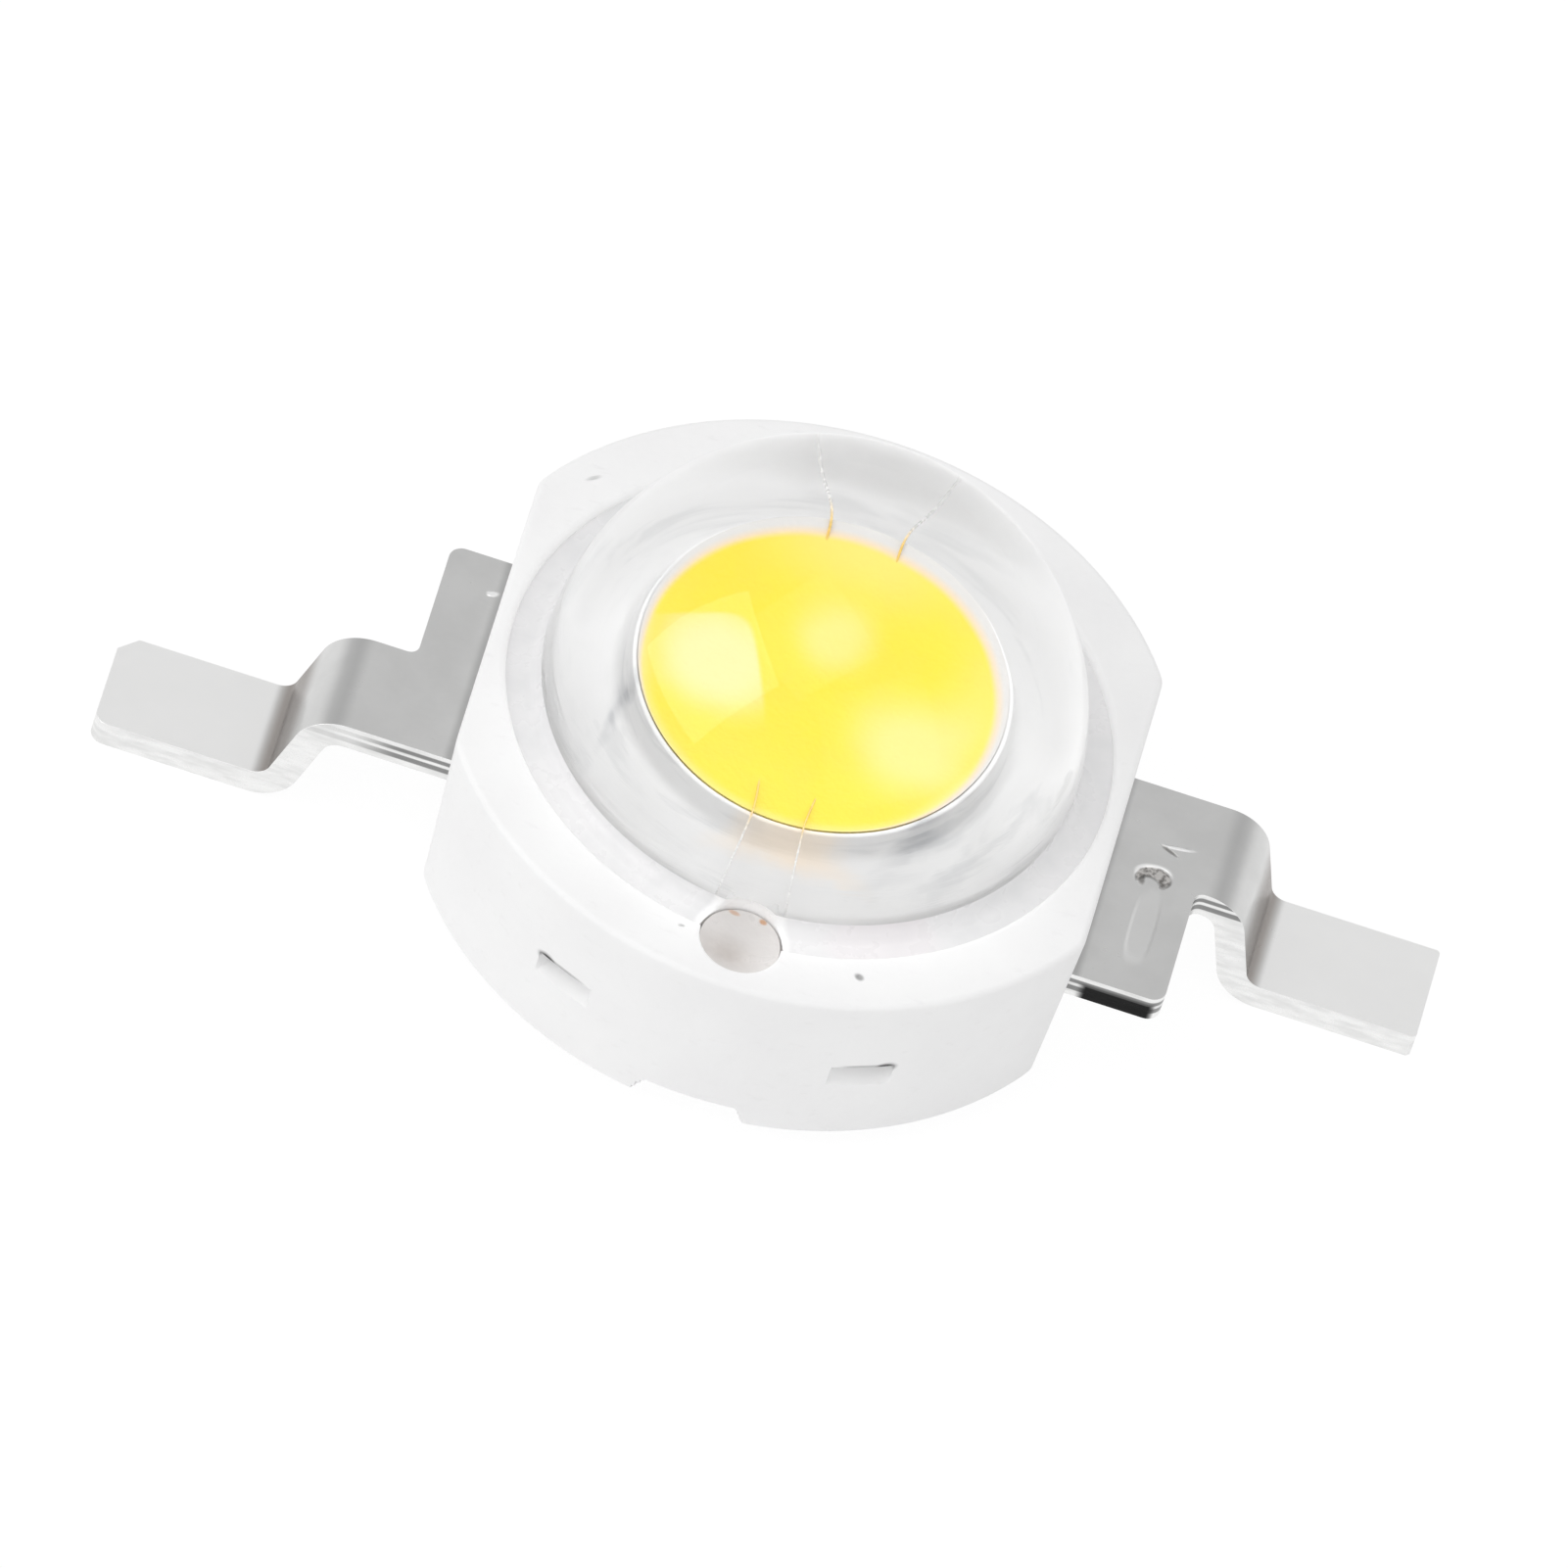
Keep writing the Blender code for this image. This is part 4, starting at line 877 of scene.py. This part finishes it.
crystal, tree, shader, place = finish("chip_crystal", (0.30, 0.36, 0.48), 0.18)
cells = add_node(tree, "TexVoronoi", {"Vector": place, "Scale": 1 / (0.25 * mm)}, distance="CHEBYCHEV")
coated(tree, shader, blended(tree, cloudy(tree, place, 0.3), (0.24, 0.30, 0.44), (0.38, 0.44, 0.55)),
       shaped(tree, cells.outputs["Distance"], 0.2, 0.6, 0.12, 0.35))
epoxy, tree, shader, place = finish("silver_filled_epoxy", (0.66, 0.66, 0.65), 0.45, 0.6)
flakes = add_node(tree, "TexVoronoi", {"Vector": place, "Scale": 1 / (0.02 * mm)})
tree.links.new(blended(tree, flakes.outputs["Distance"], (0.58, 0.58, 0.57), (0.78, 0.78, 0.77)),
               shader.inputs["Base Color"])
bumped(tree, shader, flakes.outputs["Distance"], 0.004 * mm)
for node, mat in (("led_die", crystal), ("die_attach", epoxy)):
    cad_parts[node].data.materials.clear()
    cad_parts[node].data.materials.append(mat)

# Bond wires. Fine gold wire, balled onto the chip's pads, looped low over the cup's rim and stitched to the lead's
# finger. Only the loops show, as thin lines over the edge of the phosphor.

WIRE_RADIUS = 0.008 * mm
BALL_RADIUS = 0.045 * mm
BALL_HEIGHT = 0.03 * mm
PAD_ACROSS = 0.26 * mm
PAD_ALONG = 0.38 * mm
PAD_TOP = 2.372 * mm
STITCH_ACROSS = 0.42 * mm
STITCH_ALONG = 2.40 * mm
WIRE_STEPS = 90


def smooth_route(knots, count):
    """Points on a curve through all the knots.

    Between knots b and c, with neighbours a and d, it is the Catmull-Rom cubic
    (2 b + (c - a) t + (2 a - 5 b + 4 c - d) t^2 + (3 b - a - 3 c + d) t^3) / 2.
    """
    ends = np.concatenate([2 * knots[:1] - knots[1:2], knots, 2 * knots[-1:] - knots[-2:-1]])
    way = np.linspace(0, len(knots) - 1, count)
    first = np.minimum(way.astype(int), len(knots) - 2)
    t = (way - first)[:, None]
    a, b, c, d = (ends[first + shift] for shift in range(4))
    return (2 * b + (c - a) * t + (2 * a - 5 * b + 4 * c - d) * t ** 2 + (3 * b - a - 3 * c + d) * t ** 3) / 2


def tube(name, route, radius, sides=12):
    """Rings of the given radii round a route that keeps close to one upright plane, closed at both ends.

    Each ring is point + r (cos a side + sin a up), where side is level and square to the route and up is square
    to both.
    """
    ahead = np.gradient(route, axis=0)
    ahead /= np.linalg.norm(ahead, axis=1)[:, None]
    side = np.cross(ahead, (0.0, 0.0, 1.0)) + np.array([1e-3, 0, 0])
    side *= np.sign(side[:, :1])
    side /= np.linalg.norm(side, axis=1)[:, None]
    up = np.cross(side, ahead)
    turn = np.linspace(0, 2 * np.pi, sides, endpoint=False)
    ring = np.cos(turn)[None, :, None] * side[:, None, :] + np.sin(turn)[None, :, None] * up[:, None, :]
    points = route[:, None, :] + ring * radius[:, None, None]
    ends = np.repeat(route[[0, -1], None, :], sides, 1)
    points = np.concatenate([ends[:1], points, ends[1:]])
    return surface_mesh(name, points, ring_faces(len(points), sides, False), 60)


gold, tree, shader, place = finish("bond_gold", (0.98, 0.88, 0.66), 0.30, 0.15)
along = math_of(tree, "ABSOLUTE", add_node(tree, "SeparateXYZ", {0: place}).outputs["Y"])
coated(tree, shader, layered(
    tree, blended(tree, cloudy(tree, place, 0.08), (0.80, 0.55, 0.12), (0.73, 0.45, 0.08)),
    (shaped(tree, along, 1.28 * mm, 1.55 * mm), (0.77, 0.765, 0.76)),
), shaped(tree, cloudy(tree, place, 0.03), 0.3, 0.7, 0.18, 0.34))
for pole, along in (("anode", 1), ("cathode", -1)):
    for number, beside in ((1, -1), (2, 1)):
        knots = np.array([
            (PAD_ACROSS, PAD_ALONG, PAD_TOP), (PAD_ACROSS, PAD_ALONG + 0.02 * mm, PAD_TOP + 0.12 * mm),
            (PAD_ACROSS - 0.02 * mm, 0.74 * mm, 2.575 * mm), (0.22 * mm, 1.16 * mm, 2.600 * mm),
            (0.23 * mm, 1.43 * mm, 2.575 * mm), (0.29 * mm, 1.76 * mm, 2.12 * mm), (0.36 * mm, 2.06 * mm, 1.74 * mm),
            (STITCH_ACROSS, STITCH_ALONG - 0.06 * mm, PLATE_TOP + 0.03 * mm),
            (STITCH_ACROSS, STITCH_ALONG + 0.12 * mm, PLATE_TOP + 0.008 * mm)]) * np.array([beside, along, 1])
        route = smooth_route(knots, WIRE_STEPS)
        radius = np.full(WIRE_STEPS, WIRE_RADIUS)
        rise = route[:, 2] - PAD_TOP
        ball = np.arange(WIRE_STEPS) < WIRE_STEPS // 8
        radius = np.where(ball, WIRE_RADIUS + (BALL_RADIUS - WIRE_RADIUS) * (1 - ease(rise / BALL_HEIGHT)), radius)
        name = "gold_%s_wire_%d" % (pole, number)
        wire = put_in_scene(name, tube(name, route, radius))
        wire.data.materials.append(gold)
        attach(wire, "root")
        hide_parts("%s_bond_wire_%d" % (pole, number))

# Phosphor. Yellow powder in clear silicone, dropped over the chip until it fills the cup and stands up in a low
# crown. Pale patches on it are painted highlights, where the soft boxes reflect in the dome. Its thin edge looks
# paler, then peach and then white.

PHOSPHOR_RADIUS = CUP_MOUTH - 0.002 * mm
PHOSPHOR_EDGE = CUP_RIM_TOP + 0.005 * mm
PHOSPHOR_CROWN = 0.06 * mm
PHOSPHOR_SHIFT = 0.035 * mm
PHOSPHOR_TILT = 0.012

share = np.linspace(1, 0, 40)
crown = np.stack([PHOSPHOR_RADIUS * share, PHOSPHOR_EDGE + PHOSPHOR_CROWN * (1 - share ** 2)], axis=1)
cup_floor = CUP_RIM_TOP - CUP_DEPTH + 0.01 * mm
under = np.array([(0.0, cup_floor), (CUP_FLOOR - 0.01 * mm, cup_floor)])
drop = turned("phosphor_drop", np.concatenate([under, crown]))
drop.transform(Matrix(((1, 0, 0, 0), (0, 1, 0, PHOSPHOR_SHIFT), (0, PHOSPHOR_TILT, 1, 0), (0, 0, 0, 1))))
layer = put_in_scene("phosphor_drop", drop)
phosphor, tree, shader, place = finish("yellow_phosphor", (0.98, 0.86, 0.09), 0.50)
loose = loosened(tree, place, 0.9, 0.25)
loose_rim = loosened(tree, place, 0.9, 0.03)
# Painted highlights: pale patches where the soft boxes reflect, a nearly square one on the left and softer ones.
painted_box_highlight = scaled(tree, spot_at(tree, place, -0.96, -0.14, 0.61, 0.56, 18, 7.0, 0.10),
               spot_at(tree, loose, -0.74, 0.06, 0.74, 0.70, 18, 2.0, 0.80, 0.9))
painted_soft_highlights = spots(tree, loose, (0.00, 0.52, 0.44, 0.44, 20, 2.0, 0.85, 0.48),
                (0.80, -0.16, 0.72, 0.76, 20, 2.5, 0.80, 0.56), (0.05, 1.25, 1.30, 0.75, 0, 2.0, 0.95, 0.40),
                (1.15, 0.55, 0.50, 0.90, 30, 2.0, 0.95, 0.30))
thin_rim = math_of(tree, "MULTIPLY_ADD", spot_at(tree, place, 0.0, PHOSPHOR_SHIFT / mm, 1.335, 1.335, 0, 2.0, 0.10),
                   -0.45, 0.45)
highlight_and_thin_edge = shaped(tree, sum_of(tree, painted_box_highlight, painted_soft_highlights, thin_rim), 0.0, 1.0)
deep = blended(tree, shaped(tree, cloudy(tree, place, 0.35), 0.35, 0.7), (0.79, 0.655, 0.009), (0.79, 0.635, 0.017))
pale = blended(tree, highlight_and_thin_edge, deep, (0.79, 0.715, 0.31))
peach = blended(tree, spot_at(tree, loose_rim, -0.018, -0.034, 1.315, 1.315, 0, 2.0, 0.045), (0.77, 0.61, 0.415), pale)
tree.links.new(blended(tree, spot_at(tree, loose_rim, -0.010, -0.020, 1.345, 1.345, 0, 2.0, 0.05),
                       (0.64, 0.628, 0.615), peach), shader.inputs["Base Color"])
bumped(tree, shader, cloudy(tree, place, 0.05), 0.006 * mm)
layer.data.materials.append(phosphor)
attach(layer, "root")
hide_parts("phosphor_layer")

# Lens. A half ball of clear plastic on a thin flange, moulded hollow and dropped into the recess. The flange is cut
# back round the two filler holes, and the mould left faint waves round the foot of the dome.

lens_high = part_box("lens")[1]
DOME_RADIUS = lens_high.z - BODY_TOP
FLANGE_RADIUS = RECESS_RADIUS + 0.01 * mm
FLANGE_TOP = 2.41 * mm
FOOT_ROUND = 0.16 * mm
FOOT_START = 0.085
BITE_RADIUS = HOLE_RADIUS + 0.02 * mm
BITE_HALF_ANGLE = 0.16
MILKY_ABOVE = 0.10 * mm
SUNK = 0.04 * mm


def under_clear(angle, sunk):
    """Rows (radius, height) of the surface that the clear parts share with what lies under them, sunk into it."""
    channel = ease((CHANNEL_HALF - np.abs(FLANGE_RADIUS * np.cos(angle))) / EDGE) * (np.abs(np.sin(angle)) > FACING)
    shelf = RECESS_FLOOR - sunk + (HOLE_FLOOR - RECESS_FLOOR) * channel
    rows = [(CAVITY_TOP + sunk, shelf), (CAVITY_LOW + sunk, PLATE_TOP - sunk), (DRUM_RADIUS - sunk, PLATE_TOP - sunk),
            (DRUM_RADIUS - sunk, DRUM_SHOULDER), (CUP_RIM_OUTER - sunk, CUP_RIM_TOP - CUP_RIM_HEIGHT),
            (CUP_MOUTH - FIT, CUP_RIM_TOP - sunk)]
    rows += [(radius, height - sunk) for radius, height in crown[1:]]
    return [ring_row(radius, height, angle) for radius, height in rows]


def clear_points(angle):
    """The lens as rows of (r cos a, r sin a, z): down the dome, round the flange with its two bites and back inside."""
    off = np.abs(np.abs(angle) - np.pi / 2)
    width = np.maximum(BITE_RADIUS ** 2 - (RECESS_RADIUS * np.sin(off)) ** 2, 0)
    bite = np.where(width > 0, RECESS_RADIUS * np.cos(off) - np.sqrt(width), 1.0)
    fall = np.linspace(math.pi / 2, FOOT_START, 60)
    dome = np.stack([DOME_RADIUS * np.cos(fall), BODY_TOP + DOME_RADIUS * np.sin(fall)], axis=1)
    dome[0, 0] = 0.0
    foot = eased([dome[-1], (DOME_RADIUS, FLANGE_TOP), (FLANGE_RADIUS, FLANGE_TOP),
                  (FLANGE_RADIUS, RECESS_FLOOR - SUNK)], np.array([0, FOOT_ROUND, 0.03 * mm, 0]))[1:]
    rows = [ring_row(radius, height, angle) for radius, height in dome]
    rows += [ring_row(np.minimum(radius, bite), height, angle) for radius, height in foot]
    return wrapped(rows + under_clear(angle, SUNK), angle)


bites = np.linspace(-BITE_HALF_ANGLE, BITE_HALF_ANGLE, 41)
grid = clear_points(spaced(np.concatenate([np.linspace(-math.pi, math.pi, 240, endpoint=False), bites - math.pi / 2,
                                           bites + math.pi / 2]), 0.002, 5))
lens = put_in_scene("clear_dome_lens", surface_mesh("clear_dome_lens", grid, ring_faces(*grid.shape[:2], False)))

clear, tree, shader, place = finish("clear_lens_plastic", (0.99, 0.99, 0.99), 0.015)
shader.inputs["Transmission Weight"].default_value = 1.0
shader.inputs["IOR"].default_value = 1.50
wave = use(tree, waves, Place=place, Pitch=0.16 * mm)
ripple = cloudy(tree, place, 0.9, 0.5)
streak = scaled(tree, shaped(tree, wave["Wave"], 0.52, 0.70), wave["Foot"])
coated(tree, shader, blended(tree, streak, 1.0, (0.975, 0.975, 0.977)), shaped(tree, ripple, 0.35, 0.75, 0.02, 0.05))
bumped(tree, shader, sum_of(tree, scaled(tree, wave["Wave"], wave["Foot"]), scaled(tree, ripple, 0.5)), 0.012 * mm)
lens.data.materials.append(clear)

# The flange lies on white plastic and is dull from the gel that crept round it.
clouded, tree, shader, place = finish("clouded_lens_flange", (0.95, 0.945, 0.95), 0.30)
shader.inputs["IOR"].default_value = 1.50
wave = use(tree, waves, Place=place, Pitch=0.16 * mm)["Wave"]
smear = cloudy(tree, place, 0.35)
# Painted highlight: a white arc round the front filler hole, on its side towards the dome.
painted_highlight_arc = left_of(tree, spot_at(tree, place, 0.0, -3.27, 0.56, 0.56, 0, 2.0, 0.15),
               spot_at(tree, place, 0.0, -4.10, 1.20, 0.95, 0, 2.0, 0.05))
coated(tree, shader, layered(
    tree, blended(tree, shaped(tree, sum_of(tree, smear, wave), 0.8, 1.3), (0.855, 0.85, 0.855), (0.80, 0.80, 0.805)),
    (painted_highlight_arc, 1.0),
    (spot_at(tree, place, 1.44, -2.72, 0.75, 0.30, 28, 2.5, 0.35, 0.6), (0.855, 0.82, 0.835)),
), shaped(tree, smear, 0.3, 0.7, 0.22, 0.40))
bumped(tree, shader, smear, 0.004 * mm)
lens.data.materials.append(clouded)
middles = np.empty(3 * len(lens.data.polygons))
lens.data.polygons.foreach_get("center", middles)
middles = middles.reshape(-1, 3)
low_rim = (middles[:, 2] < BODY_TOP + MILKY_ABOVE) & (np.hypot(middles[:, 0], middles[:, 1]) > CAVITY_TOP + 2 * SUNK)
lens.data.polygons.foreach_set("material_index", low_rim.astype(np.int32))
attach(lens, "root")
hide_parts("lens")

# Gel. Clear silicone, pumped in through the front hole until it came out at the back one and cured there. It bends
# light a little more than the lens. Both clear bodies run down to the opaque pieces, so that no air lies between them.

HOLLOW_RADIUS = 2.258 * mm
GEL_SUNK = 0.06 * mm
PLUG_RADIUS = HOLE_RADIUS - 0.005 * mm
PLUG_TOP = 2.41 * mm
PLUG_DISH = 0.10 * mm

fall = np.linspace(math.pi / 2, 0, 48)
hollow = np.stack([HOLLOW_RADIUS * np.cos(fall), BODY_TOP + HOLLOW_RADIUS * np.sin(fall)], axis=1)
hollow[0, 0] = 0.0
hollow = np.concatenate([hollow, [(HOLLOW_RADIUS, RECESS_FLOOR), (CAVITY_TOP + GEL_SUNK, RECESS_FLOOR - 0.01 * mm)]])
angles = np.linspace(-math.pi, math.pi, 192, endpoint=False)
rows = [ring_row(radius, height, angles) for radius, height in hollow]
grid = wrapped(rows + under_clear(angles, GEL_SUNK)[1:], angles)
gel = put_in_scene("gel_filling", surface_mesh("gel_filling", grid, ring_faces(*grid.shape[:2], False)))
jelly, tree, shader, place = finish("clear_silicone_gel", (0.995, 0.995, 0.995), 0.01)
shader.inputs["Transmission Weight"].default_value = 1.0
shader.inputs["IOR"].default_value = 1.04
cure = cloudy(tree, place, 0.9, 0.5)
tree.links.new(blended(tree, shaped(tree, cure, 0.4, 0.7), 1.0, (0.99, 0.99, 0.985)), shader.inputs["Base Color"])
bumped(tree, shader, cure, 0.012 * mm)
gel.data.materials.append(jelly)
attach(gel, "root")
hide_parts("silicone_fill")

# Gel plugs. Where the gel stands in the two filler holes it cured as a dull dish, with dust caught at its edge.
dusty, tree, shader, place = finish("dusty_gel", (0.80, 0.78, 0.76), 0.35)
dust = cloudy(tree, place, 0.30)
deep = spot_at(tree, place, -0.10, -3.44, 0.46, 0.36, 0, 2.0, 0.95)
specks = spots(tree, place, (-0.147, -2.925, 0.085, 0.030, 0, 2.0, 0.6, 0.7),
               (0.173, -2.930, 0.060, 0.034, -20, 2.0, 0.6))
tone = blended(tree, shaped(tree, dust, 0.35, 0.7), (0.60, 0.56, 0.535), (0.53, 0.49, 0.465))
coated(tree, shader, blended(tree, specks, blended(tree, deep, (0.72, 0.695, 0.68), tone), (0.60, 0.36, 0.22)),
       shaped(tree, dust, 0.3, 0.7, 0.25, 0.5))
bumped(tree, shader, dust, 0.02 * mm)
share = np.linspace(1, 0, 12)
dish = np.stack([PLUG_RADIUS * share, PLUG_TOP - PLUG_DISH * (1 - share ** 2)], axis=1)
plug_profile = np.concatenate([[(0.0, HOLE_FLOOR - 0.01 * mm), (PLUG_RADIUS, HOLE_FLOOR - 0.01 * mm)], dish])
for side, middle in (("front", -RECESS_RADIUS), ("back", RECESS_RADIUS)):
    mesh = turned("gel_plug_" + side, plug_profile, 48)
    mesh.transform(Matrix.Translation((0, middle, 0)))
    plug = put_in_scene("gel_plug_" + side, mesh)
    plug.data.materials.append(dusty)
    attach(plug, "root")

bpy.context.view_layer.update()
